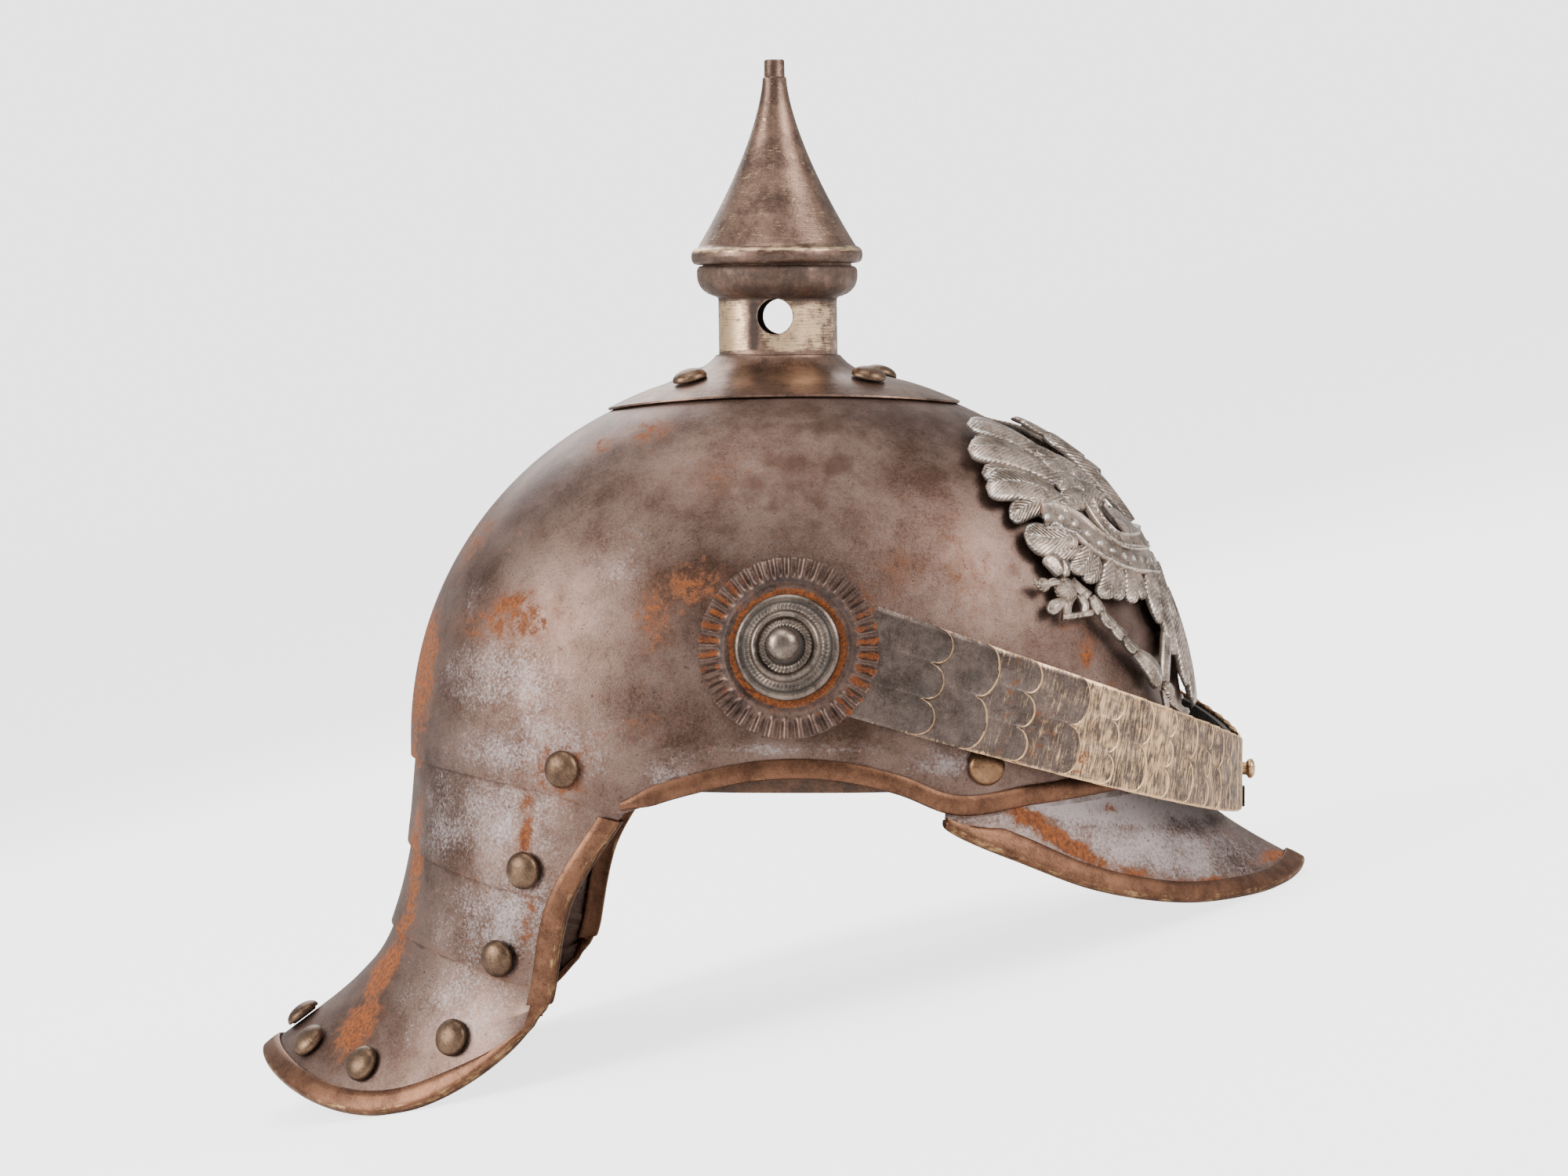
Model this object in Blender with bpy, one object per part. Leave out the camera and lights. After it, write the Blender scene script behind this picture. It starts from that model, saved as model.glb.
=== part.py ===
# Spiked steel cavalry helmet: skull, brass-bound peak, three-lame neck guard, vented spike, side rosettes,
# scaled chin straps and a pierced relief eagle. Metres, +Z up, +X the front, -Y the wearer's right.
# Everything is worked out as worn, with heights from the tail's lowest rim, and the empty "helmet" then tips
# it forward until it rests on the tail rim and the peak rim.
import math

import bmesh
import bpy
import numpy as np
from mathutils import Matrix, Vector
from mathutils.bvhtree import BVHTree

# Clear space between touching pieces, and the looser space round a folded edging
gap = 0.0003
edging_play = 0.0004

# Skull: an upper half ellipsoid over a short upright wall
brow_level = 0.1217
crown_height = 0.1172
skull_front = 0.1292
skull_back = 0.1175
skull_half_width = 0.098
skull_wall = 0.0012
plan_fullness = 2.15
crown_fullness = 2.04
side_squareness = 0.3
crown_shift = 0.003          # how far the crown leans forward of the plan's middle
crown_hole = 0.12            # share of the plan

# Lower edge of the skull: how far it hangs below the brow level
ear_drop = 0.0154
corner_angle = math.radians(109.75)
peak_angle = math.radians(66.5)

# Neck guard
lame_wall = 0.001
lame_overlap = 0.14          # share of one lame's height tucked under its neighbour
tail_flare = 0.0482           # how far the rim stands out behind the skull
tail_reach = skull_back + tail_flare
tail_drop = 0.112
tail_corner_reach = 0.0697
tail_corner_half_width = 0.077

# Peak
peak_wall = 0.0012
peak_reach = 0.167
peak_drop = 0.0451
peak_fullness = 1.5

# Folded brass edgings
edging_wall = 0.0007
edging_width = 0.006
brow_band_height = 0.006
brow_band_wall = 0.0009

# Leather lining
sweatband_wall = 0.0016
sweatband_low = 0.1132
sweatband_high = 0.146

# Spike
plate_share = 0.45           # outline of the base plate, as a share of the skull's plan
plate_offset = 0.045         # share of its own size that the plate sits back of the skull's middle
plate_wall = 0.0009
neck_radius = 0.0189
neck_wall = 0.0012
neck_foot_height = 0.0048     # moulding round the bottom of the neck
neck_height = 0.0233         # from the crown to the underside of the collar
collar_radius = 0.0256
collar_height = 0.0098
vent_radius = 0.0056
vent_rise = 0.0171
spike_lean = math.radians(0.8)
ring_radius = 0.0273
ring_height = 0.0052
cone_radius = 0.0252
cone_height = 0.0537
cone_curve = 1.5
stub_radius = 0.0033
stub_height = 0.0058
stub_bore = 0.0012
finial_wall = 0.0013

# Domed rivets and studs
rivet_radius = 0.0058
rivet_height = 0.0036
stud_radius = 0.0055
stud_height = 0.0034
stud_share = 0.31            # share of the skull's plan where the studs stand
stud_turn = math.radians(-2.5)

# Rosettes and their bosses
rosette_radius = 0.0275
rosette_wall = 0.0009
rosette_stand_off = 0.0025
rosette_hub_radius = 0.013
rosette_bore = 0.003
flute_count = 36
flute_depth = 0.0009
rosette_forward = 0.0085
rosette_rise = 0.0348
rosette_turn = math.radians(8)
boss_radius = 0.016
boss_height = 0.0135

# Chin straps
strap_stand_off = 0.0153      # how far the strap stands in front of the skull
strap_reach = skull_front + strap_stand_off
strap_half_width = 0.0985
strap_end_angle = math.radians(79.5)
strap_front_rise = -0.0108
strap_climb = 0.042
strap_front_width = 0.0225
strap_widening = 0.0125
strap_lean = math.radians(15)
leather_wall = 0.0014
scale_wall = 0.0008
scale_step = 0.0009
scale_count = 14
scale_lobe = 0.0022
buckle_half_width = 0.006
buckle_wall = 0.0012
hook_radius = 0.0032
hook_length = 0.0045
tab_wall = 0.0012

# Relief eagle
eagle_wall = 0.0016
eagle_stand_off = 0.0034
wing_lift = 0.0012
wing_rise = 0.0022
tail_settle = -0.0018
post_radius = 0.0022
eagle_radius = 0.124         # turns a length along the front into an angle

# Numbers of facets
front_cells = 8
ear_cells = 5
back_cells = 9
round_cells = 20
rivet_cells = 10


def clear_scene():
    for item in list(bpy.data.objects):
        bpy.data.objects.remove(item, do_unlink=True)


def metal(name, color, roughness, metallic=1.0):
    material = bpy.data.materials.new(name)
    material.use_nodes = True
    shader = material.node_tree.nodes["Principled BSDF"]
    shader.inputs["Base Color"].default_value = (*color, 1)
    shader.inputs["Roughness"].default_value = roughness
    shader.inputs["Metallic"].default_value = metallic
    return material


def finish_object(name, bm, color_of, parent, smooth_angle=35):
    """Closes off a bmesh as one named, smoothly shaded object under the helmet's empty."""
    bmesh.ops.remove_doubles(bm, verts=bm.verts, dist=1e-6)
    bmesh.ops.recalc_face_normals(bm, faces=bm.faces)
    if bm.calc_volume(signed=True) < 0:
        bmesh.ops.reverse_faces(bm, faces=bm.faces)
    mesh = bpy.data.meshes.new(name)
    bm.to_mesh(mesh)
    bm.free()
    mesh.shade_smooth()
    mesh.set_sharp_from_angle(angle=math.radians(smooth_angle))
    item = bpy.data.objects.new(name, mesh)
    mesh.materials.append(metal(name, *color_of))
    bpy.context.scene.collection.objects.link(item)
    item.parent = parent
    return item


# Finishes: colour, roughness, metallic
steel = ((0.33, 0.29, 0.27), 0.45)
bronze = ((0.30, 0.20, 0.13), 0.4)
brass = ((0.50, 0.38, 0.20), 0.35)
pewter = ((0.42, 0.39, 0.36), 0.4)
leather = ((0.09, 0.04, 0.02), 0.7, 0.0)


def curve_through(places, values, at):
    """A smooth curve through hand-picked points, with the slope at each from its two neighbours."""
    places = np.asarray(places, float)
    values = np.asarray(values, float)
    slopes = np.gradient(values, places)
    at = np.clip(at, places[0], places[-1])
    left = np.clip(np.searchsorted(places, at, side="right") - 1, 0, len(places) - 2)
    span = places[left + 1] - places[left]
    t = (at - places[left]) / span
    rise = values[left + 1] - values[left]
    start, end = slopes[left] * span, slopes[left + 1] * span
    return values[left] + t * start + t * t * (3 * rise - 2 * start - end) + t ** 3 * (start + end - 2 * rise)


def signed_power(value, power):
    return np.sign(value) * np.abs(value) ** power


def unit(vectors):
    return vectors / np.maximum(np.linalg.norm(vectors, axis=-1, keepdims=True), 1e-12)


def grid_normals(points, around, outward_from):
    """Normals of a grid of points, rows by columns, turned away from a point inside."""
    if around:
        across = np.roll(points, -1, axis=1) - np.roll(points, 1, axis=1)
    else:
        across = np.gradient(points, axis=1)
    along = np.gradient(points, axis=0)
    normals = unit(np.cross(across, along))
    facing = np.sum(normals * (points - np.asarray(outward_from)), axis=-1, keepdims=True)
    return np.where(facing.sum() < 0, -normals, normals)


def quads_between(bm, first, second, around):
    """Faces between two equally long rows of vertices."""
    count = len(first)
    for k in range(count if around else count - 1):
        after = (k + 1) % count
        bm.faces.new((first[k], first[after], second[after], second[k]))


def closed_rows(rows, around, wrap):
    """A bmesh of rows of points, each joined to the next, and the last to the first if it wraps."""
    bm = bmesh.new()
    made = [[bm.verts.new(point) for point in row] for row in rows]
    for k in range(len(made) if wrap else len(made) - 1):
        quads_between(bm, made[k], made[(k + 1) % len(made)], around)
    return bm, made


def shell(name, points, normals, outer, inner, around, color_of, parent):
    """A sheet of metal between two offsets of one grid of points."""
    outer = np.broadcast_to(np.asarray(outer, float), points.shape[:2])[..., None]
    inner = np.broadcast_to(np.asarray(inner, float), points.shape[:2])[..., None]
    top = points + normals * outer
    bottom = points + normals * inner
    rows = [*top, *bottom[::-1]]
    bm, made = closed_rows(rows, around, wrap=True)
    if not around:
        count = len(top)
        for side in (0, -1):
            for k in range(count - 1):
                upper = (made[k][side], made[k + 1][side])
                lower = (made[-1 - k][side], made[-2 - k][side])
                bm.faces.new((upper[0], upper[1], lower[1], lower[0]))
    return finish_object(name, bm, color_of, parent)


def turned(name, profile, cells, color_of, parent, place=None, closed=False):
    """A lathe piece: radius and height pairs spun about Z, then stood on a point along a direction."""
    bm = bmesh.new()
    verts = [bm.verts.new((radius, 0, height)) for radius, height in profile]
    pairs = list(zip(verts, verts[1:]))
    if closed:
        pairs.append((verts[-1], verts[0]))
    edges = [bm.edges.new(pair) for pair in pairs]
    bmesh.ops.spin(bm, geom=verts + edges, axis=(0, 0, 1), cent=(0, 0, 0), steps=cells,
                   angle=2 * math.pi, use_merge=True)
    item = finish_object(name, bm, color_of, parent)
    if place is not None:
        point, direction = place
        item.location = point
        item.rotation_mode = "QUATERNION"
        item.rotation_quaternion = Vector(direction).to_track_quat("Z", "Y")
    return item


def dome(radius, height):
    """Profile of a domed head: a flat seat, a short edge and a round cap."""
    edge = height * 0.18
    turns = [math.radians(angle) for angle in (0, 45)]
    cap = [(radius * math.cos(turn), edge + (height - edge) * math.sin(turn)) for turn in turns]
    return [(0, 0), (radius, 0), *cap, (0, height)]


# Skull surface

def skull_plan(angle):
    """Outline of the skull seen from above, by an angle from the front."""
    power = 2 / plan_fullness
    reach = np.where(np.cos(angle) >= 0, skull_front, skull_back)
    return reach * signed_power(np.cos(angle), power), skull_half_width * signed_power(np.sin(angle), power)


def side_fullness(angle):
    return crown_fullness + side_squareness * np.sin(angle) ** 2


def skull_point(angle, share):
    """Point over a share of the plan's outline."""
    angle, share = np.broadcast_arrays(np.asarray(angle, float), np.asarray(share, float))
    x, y = skull_plan(angle)
    fullness = side_fullness(angle)
    rise = crown_height * (1 - share ** fullness) ** (1 / fullness)
    return np.stack([share * x + crown_shift * (1 - share), share * y, brow_level + rise], axis=-1)


def skull_share(angle, rise):
    """Share of the plan at a height above the brow level."""
    fullness = side_fullness(angle)
    return (1 - np.clip(rise / crown_height, 0, 1) ** fullness) ** (1 / fullness)


def skull_frame(angle, rise):
    """Point on the skull at a height above the brow level, and the direction straight out of it."""
    step = 0.002
    point = skull_point(angle, skull_share(angle, rise))
    across = skull_point(angle + step, skull_share(angle + step, rise)) - skull_point(
        angle - step, skull_share(angle - step, rise))
    higher = skull_point(angle, skull_share(angle, rise + step))
    lower = skull_point(angle, skull_share(angle, max(rise - step, 0)))
    normal = unit(np.cross(across, higher - lower))
    if np.dot(normal[:2], point[:2]) < 0:
        normal = -normal
    return point, normal


# Lower edge of the skull: share of the corner's angle, share of the ear drop
edge_table = (
    (0.0, 0.615),
    (0.30, 0.63),
    (0.48, 0.81),
    (0.606, 0.92),
    (0.665, 0.55),
    (0.784, 0.21),
    (0.915, 0.58),
    (1.0, 1.0),
)


def seam_height(along):
    """First seam behind the corner, by the share of the way back from the corner."""
    side, back, sag = 0.137, 0.044, -0.02
    return brow_level - tail_drop * (side + (back - side) * along + sag * np.sin(math.pi * along) ** 0.8)


def edge_height(angle):
    """Height of the skull's lower edge."""
    angle = np.abs(angle)
    share = angle / corner_angle
    arch = brow_level - ear_drop * curve_through(*zip(*edge_table), share)
    x = skull_plan(angle)[0]
    corner_x = skull_plan(corner_angle)[0]
    along = np.clip((corner_x - x) / (corner_x + skull_back), 0, 1)
    behind = seam_height(along)
    join = brow_level - ear_drop
    fade = np.clip((share - 1) / 0.08, 0, 1)
    return np.where(share < 1, arch, join + (behind - join) * fade)


def half_angles():
    """Angles from the front to the back of one side, with a station at the peak's end and at the corner."""
    front = np.linspace(0, peak_angle, front_cells + 1)
    ear = np.linspace(peak_angle, corner_angle, ear_cells + 1)
    back = np.linspace(corner_angle, math.pi, back_cells + 1)
    return front, ear, back


def ring_angles():
    front, ear, back = half_angles()
    half = np.concatenate([front, ear[1:], back[1:]])
    return np.concatenate([half, -half[-2:0:-1]])


def build_skull(parent):
    angles = ring_angles()
    shares = (1, 0.975, 0.91, 0.81, 0.69, 0.57, plate_share, 0.33, 0.2, crown_hole)
    rows = [skull_point(angles, share) for share in shares]
    edge = rows[0].copy()
    edge[:, 2] = edge_height(angles)
    points = np.stack([edge, *rows])
    normals = grid_normals(points, True, (0, 0, brow_level))
    level = unit(normals[1] * (1, 1, 0))
    normals[0] = level
    normals[1] = level
    return shell("skull", points, normals, 0, -skull_wall, True, steel, parent)


def build_sweatband(parent):
    angles = ring_angles()
    rises = np.array([sweatband_low, brow_level, sweatband_high]) - brow_level
    rows = [skull_point(angles, skull_share(angles, rise)) + (0, 0, min(rise, 0)) for rise in rises]
    points = np.stack(rows)
    normals = grid_normals(points, True, (0, 0, brow_level))
    normals[:] = unit(normals * (1, 1, 0))
    outer = -(skull_wall + lame_wall + 3 * gap)
    return shell("sweatband", points, normals, outer, outer - sweatband_wall, True, leather, parent)


def build_rim_band(parent):
    """Brass edging of both ear arches, which runs on over the brow."""
    front, ear, _ = half_angles()
    half = np.concatenate([front, ear[1:]])
    angles = np.concatenate([-half[:0:-1], half])
    low = edge_height(angles) - 2 * gap
    low[[0, -1]] = edge_height(angles[[0, -1]]) + 4 * gap
    height = np.full(len(angles), brow_band_height)
    height[[0, -1]] *= 0.45
    rows = []
    for share in (0, 0.5, 1):
        rise = low + height * share - brow_level
        point = skull_point(angles, skull_share(angles, rise))
        point[:, 2] = low + height * share
        rows.append(point)
    points = np.stack(rows)
    normals = grid_normals(points, False, (0, 0, brow_level))
    normals[:] = unit(normals * (1, 1, 0))
    swell = np.array([0.7, 1.3, 0.7])[:, None] * brow_band_wall
    return shell("rim_band", points, normals, gap + swell, gap, False, bronze, parent)


# Neck guard sections from the first seam to the rim. Reaches, widths and drops are shares of the way to the
# rim's own; sag is a share of the tail drop; centre is a share of the section's own corner reach.
# back reach, corner reach, narrowing, back drop, corner drop, sag, centre, fullness
tail_table = (
    (0.0, 0.0, 0.0, 0.044, 0.137, -0.02, 0.0, plan_fullness),
    (0.025, 0.655, 0.45, 0.286, 0.385, 0.011, 0.25, 2.1),
    (0.141, 0.88, 0.79, 0.524, 0.645, -0.005, 0.45, 2.0),
    (0.37, 0.94, 0.90, 0.690, 0.672, 0.085, 0.75, 1.85),
    (1.0, 1.0, 1.0, 0.905, 0.7, 0.187, 1.0, 1.7),
)


def tail_point(across, level):
    """Neck guard surface: across runs from -1 to 1 over the back, level from the first seam to the rim."""
    across, level = np.broadcast_arrays(np.asarray(across, float), np.asarray(level, float))
    sections = np.arange(len(tail_table))
    columns = [curve_through(sections, column, level) for column in zip(*tail_table)]
    back_share, corner_share, narrowing, back_drop, corner_drop, sag, centre_share, fullness = columns
    corner_x, corner_y = (abs(value) for value in skull_plan(corner_angle))
    back = skull_back + (tail_reach - skull_back) * back_share
    corner = corner_x + (tail_corner_reach - corner_x) * corner_share
    half_width = corner_y + (tail_corner_half_width - corner_y) * narrowing
    centre = corner * centre_share
    start = np.arcsin(np.clip((corner - centre) / (back - centre), 0, 1) ** (fullness / 2))
    turn = start + (math.pi / 2 - start) * (1 - np.abs(across))
    x = -(centre + (back - centre) * np.sin(turn) ** (2 / fullness))
    scale = half_width / np.cos(start) ** (2 / fullness)
    y = np.sign(across) * scale * np.maximum(np.cos(turn), 0) ** (2 / fullness)
    along = np.clip((-x - corner) / (back - corner), 0, 1)
    drop = corner_drop + (back_drop - corner_drop) * along + sag * np.sin(math.pi * along) ** 0.8
    above = np.minimum(level, 0) * -0.2 * tail_drop
    return np.stack([x, y, brow_level - tail_drop * drop + above], axis=-1)


def tail_normals(across, level):
    """Outward directions. The front corners are pinched, so theirs are taken a little inside them."""
    across, level = np.broadcast_arrays(np.clip(across, -0.95, 0.95), np.asarray(level, float))
    step = 0.004
    level = np.maximum(level, 0)
    left, right = np.clip(across - step, -1, 1), np.clip(across + step, -1, 1)
    above, below = np.clip(level - step, 0, 4), np.clip(level + step, 0, 4)
    sideways = tail_point(right, level) - tail_point(left, level)
    return unit(np.cross(sideways, tail_point(across, below) - tail_point(across, above)))


def lame_offset(level, top, bottom):
    """How far a lame lies below the outer surface: tucked under its neighbour, then rising to the surface."""
    step = (skull_wall if top == 0 else lame_wall) + gap
    rise_end = min(bottom - lame_overlap, top + 0.9)
    return -step * (1 - np.clip((level - top) / (rise_end - top), 0, 1))


# Each lame: its upper seam, its lower seam, and the levels of its rows
lame_spans = (
    (0, 1, (-lame_overlap, 0, 0.3, 0.6, 1 - lame_overlap, 1)),
    (1, 2, (1 - lame_overlap, 1, 1.3, 1.6, 2 - lame_overlap, 2)),
    (2, 4, (2 - lame_overlap, 2, 2.35, 2.7, 3, 3.25, 3.5, 3.75, 4)),
)


def build_lames(parent):
    across = np.linspace(-1, 1, 2 * back_cells + 1)
    for number, (top, bottom, levels) in enumerate(lame_spans, 1):
        grid_across, grid_level = np.meshgrid(across, levels)
        points = tail_point(grid_across, grid_level)
        normals = tail_normals(grid_across, grid_level)
        offset = lame_offset(grid_level, top, bottom)
        shell(f"lame_{number}", points, normals, offset, offset - lame_wall, False, steel, parent)


def surface_tree(points):
    """A search tree over a grid of points, to find the nearest place on a surface."""
    rows, columns = points.shape[:2]
    verts = [Vector(point) for point in points.reshape(-1, 3)]
    faces = [(r * columns + c, r * columns + c + 1, (r + 1) * columns + c + 1, (r + 1) * columns + c)
             for r in range(rows - 1) for c in range(columns - 1)]
    return BVHTree.FromPolygons(verts, faces)


def build_edging(name, path, inside, tree, outward_from, slots, widths, color_of, parent):
    """A strip folded over a sheet's edge. The path runs along the edge, inside holds a point on the sheet
    next to each point of the path, and slots hold the space it leaves above and below the surface."""
    path = np.asarray(path)
    along = unit(np.gradient(path, axis=0))
    sections = []
    for point, neighbour, tangent, width, (top, bottom) in zip(path, inside, along, widths, slots):
        inward = unit(neighbour - point)
        normal = unit(np.cross(tangent, inward))
        if np.dot(normal, point - np.asarray(outward_from)) < 0:
            normal = -normal
        inward = unit(inward - tangent * np.dot(inward, tangent))
        nearest, face_normal, _, _ = tree.find_nearest(Vector(point + inward * width))
        far, out = np.array(nearest), np.array(face_normal)
        out = unit(out * np.sign(np.dot(out, normal)) + normal)
        clear, outer = top, top + edging_wall
        sections.append([
            far + out * (top + edging_wall),
            point + normal * (top + edging_wall) - inward * clear,
            point + normal * (top - bottom) / 2 - inward * outer * 1.4,
            point - normal * (bottom + edging_wall) - inward * clear,
            far - out * (bottom + edging_wall),
            far - out * bottom,
            point - normal * bottom - inward * clear * 0.5,
            point + normal * top - inward * clear * 0.5,
            far + out * top,
        ])
    bm = bmesh.new()
    made = [[bm.verts.new(point) for point in section] for section in sections]
    for first, second in zip(made, made[1:]):
        for k in range(len(first)):
            after = (k + 1) % len(first)
            # The two faces of each wall are split the same way, so that it keeps its thickness where it twists
            corners = [first[k], first[after], second[after], second[k]]
            if k in (3, 7):
                corners = corners[1:] + corners[:1]
            bm.faces.new(corners[:3])
            bm.faces.new([corners[0], *corners[2:]])
    bm.faces.new(made[0])
    bm.faces.new(made[-1])
    return finish_object(name, bm, color_of, parent)


def with_middles(points):
    """The points of a line with one more halfway along each straight stretch."""
    return np.insert(points, range(1, len(points)), (points[1:] + points[:-1]) / 2, axis=0)


def build_tail_trim(parent):
    side_levels = np.array([0.08, 0.3, 0.6, 1, 1.3, 1.6, 2, 2.7])
    rim_across = np.linspace(1, -1, 2 * back_cells + 1)
    near = tail_point(1, side_levels)
    near_inside = tail_point(0.96, np.minimum(side_levels, 2))
    rim = tail_point(rim_across, 4)
    rim_spread = np.linalg.norm(rim - tail_point(rim_across, 3.9), axis=-1) / 0.1
    rim_inside = tail_point(rim_across * 0.96, 4 - edging_width / rim_spread)
    mirror = (1, -1, 1)
    path = with_middles(np.concatenate([near, rim, near[::-1] * mirror]))
    inside = with_middles(np.concatenate([near_inside, rim_inside, near_inside[::-1] * mirror]))
    levels = np.unique(np.concatenate([levels for _, _, levels in lame_spans]))
    grid_across, grid_level = np.meshgrid(rim_across, levels)
    tree = surface_tree(tail_point(grid_across, grid_level))
    corner = tail_point(1, 4)
    corner_distance = np.linalg.norm(path * (1, 0, 1) + np.abs(path) * (0, 1, 0) - corner, axis=-1)
    near_corner = np.exp(-(corner_distance / (1.4 * edging_width)) ** 2)
    widths = edging_width * (1 - 0.3 * near_corner)
    corner_play = 2.8 * edging_play * near_corner
    slots = np.stack([edging_play + corner_play, skull_wall + gap + lame_wall + edging_play + corner_play], axis=-1)
    centre = (-tail_corner_reach, 0, brow_level - tail_drop)
    return build_edging("tail_trim", path, inside, tree, centre, slots, widths, bronze, parent)


# Peak rim: share of the way round from the side to the front, share of the peak drop
peak_rim_table = (
    (0.0, 0.385),
    (0.19, 0.63),
    (0.34, 0.85),
    (0.52, 0.985),
    (0.69, 0.985),
    (1.0, 0.852),
)


def peak_point(across, share):
    """Peak surface: across runs from -1 to 1 round the front, share from the skull's edge out to the rim."""
    across, share = np.broadcast_arrays(np.asarray(across, float), np.asarray(share, float))
    angle = across * peak_angle
    root_x, root_y = skull_plan(angle)
    root_z = edge_height(angle) - 4 * gap
    turn = (1 - np.abs(across)) * math.pi / 2
    side_x, side_y = skull_plan(peak_angle)
    power = 2 / peak_fullness
    rim_x = side_x + (peak_reach - side_x) * np.sin(turn) ** power
    rim_y = np.sign(across) * (side_y + 2 * gap) * np.maximum(np.cos(turn), 0) ** power
    rim_z = brow_level - peak_drop * curve_through(*zip(*peak_rim_table), 1 - np.abs(across))
    outward = np.maximum(share, 0)
    fall = outward ** 0.66
    upright = np.minimum(share, 0)
    return np.stack([
        root_x + (rim_x - root_x) * outward,
        root_y + (rim_y - root_y) * outward,
        root_z + (rim_z - root_z) * fall - upright * 3 * gap,
    ], axis=-1)


def build_peak(parent):
    across = np.linspace(-1, 1, 2 * front_cells + 1)
    shares = (-1, 0, 0.04, 0.14, 0.3, 0.5, 0.7, 0.85, 1)
    grid_across, grid_share = np.meshgrid(across, shares)
    points = peak_point(grid_across, grid_share)
    normals = grid_normals(points, False, (0, 0, 0))
    level = unit(normals[1] * (1, 1, 0))
    normals[0] = level
    normals[1] = unit(level + (0, 0, 0.15))
    shell("peak", points, normals, 0, -peak_wall, False, steel, parent)

    path = peak_point(across, 1)
    inside = peak_point(across, 0.96)
    tree = surface_tree(points[1:])
    length = np.linalg.norm(path - peak_point(across, 0), axis=-1)
    widths = np.minimum(edging_width, length * 0.5)
    slots = [(edging_play, peak_wall + edging_play)] * len(path)
    build_edging("peak_trim", path, inside, tree, (0, 0, 0), slots, widths, bronze, parent)


# Spike

def lean(height):
    """Backward shift of the spike at a height above the brow level."""
    return -max(height - crown_height, 0) * math.tan(spike_lean)


def spike_ring(radius, height, angles):
    """Ring of the spike, round and level, at a height above the brow level."""
    x = radius * np.cos(angles) + lean(height)
    return np.stack([x, radius * np.sin(angles), np.full(len(angles), brow_level + height)], axis=-1)


def plate_spread(share, angles):
    return share * (1 - plate_offset * np.cos(angles))


def plate_ring(share, offset, angles):
    """Ring of the base plate, which follows the skull at an offset and sits a little back of its middle."""
    spread = plate_spread(share, angles)
    points = skull_point(angles, spread)
    slope = unit(skull_point(angles, spread * 1.001) - skull_point(angles, spread * 0.999))
    across = unit(np.roll(points, -1, axis=0) - np.roll(points, 1, axis=0))
    normals = unit(np.cross(slope, across))
    normals *= np.sign(normals[:, 2:])
    return points + normals * offset


# Moulding round the foot of the neck: share of the neck radius, share of the foot's height
neck_foot_table = (
    (1.27, 0.08),
    (1.1, 0.35),
    (1.06, 0.88),
    (1.0, 1.0),
)

# Collar under the ring: share of the collar radius, share of its height
collar_table = (
    (0.86, 0.12),
    (0.97, 0.4),
    (1.0, 0.7),
    (0.98, 1.0),
)


def cone_radius_at(share):
    """Radius of the concave cone at a share of its height."""
    tip = stub_radius * 1.15
    return tip + (cone_radius - tip) * (1 - share) ** cone_curve


def build_spike(parent):
    angles = ring_angles()
    under, over = gap, gap + plate_wall
    crest = over * 1.2
    collar_low = crown_height + neck_height
    collar_top = collar_low + collar_height
    bore = neck_radius - neck_wall
    rows = [
        plate_ring(0.15, under, angles),
        plate_ring(0.2, under, angles),
        plate_ring(stud_share, under, angles),
        plate_ring(plate_share, under, angles),
        plate_ring(plate_share, over, angles),
        plate_ring(stud_share, crest, angles),
        *(spike_ring(neck_radius * wide, crown_height + neck_foot_height * high, angles)
          for wide, high in neck_foot_table),
        spike_ring(neck_radius, collar_low, angles),
        *(spike_ring(collar_radius * wide, collar_low + collar_height * high, angles)
          for wide, high in collar_table),
        spike_ring(bore, collar_top, angles),
        spike_ring(bore, crown_height + neck_foot_height, angles),
    ]
    bm, _ = closed_rows(rows, True, wrap=True)
    base = finish_object("spike_base", bm, bronze, parent)

    vent_height = crown_height + vent_rise
    vent_length = 3 * neck_radius
    vent = turned("vent_cutter", [(0, 0), (vent_radius, 0), (vent_radius, vent_length), (0, vent_length)],
                  round_cells, bronze, parent,
                  ((lean(vent_height), vent_length / 2, brow_level + vent_height), (0, -1, 0)))
    vent.hide_render = True
    vent.display_type = "WIRE"
    cut = base.modifiers.new("vents", "BOOLEAN")
    cut.operation = "DIFFERENCE"
    cut.solver = "EXACT"
    cut.object = vent

    # The finial: a rolled ring under a hollow, concave cone, with a short tube at the tip
    outer = [
        (bore, 0),
        (ring_radius * 0.96, 0),
        (ring_radius, ring_height * 0.3),
        (ring_radius, ring_height * 0.7),
        (ring_radius * 0.96, ring_height),
    ]
    for share in (0, 0.12, 0.25, 0.4, 0.55, 0.7, 0.85, 1):
        outer.append((cone_radius_at(share), ring_height + cone_height * share))
    cone_top = ring_height + cone_height
    outer += [(stub_radius, cone_top + stub_height * 0.1), (stub_radius, cone_top + stub_height)]
    inner = [(stub_bore, cone_top + stub_height), (stub_bore, cone_top * 0.96)]
    for share in (0.7, 0.4, 0.12):
        inner.append((cone_radius_at(share) - finial_wall, ring_height + cone_height * share - finial_wall))
    foot = collar_top + gap + collar_radius * math.tan(spike_lean)
    upright = (-math.tan(spike_lean), 0, 1)
    turned("spike_finial", outer + inner, 24, bronze, parent, ((lean(foot), 0, brow_level + foot), upright),
           closed=True)

    for number, angle in enumerate((45, 135, 225, 315), 1):
        angle = math.radians(angle) + stud_turn
        rise = float(skull_point(angle, plate_spread(stud_share, angle))[2]) - brow_level
        point, normal = skull_frame(angle, rise)
        seat = point + normal * (crest + 2 * gap)
        turned(f"base_stud_{number}", dome(stud_radius, stud_height), rivet_cells, bronze, parent,
               (seat, normal))


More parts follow.
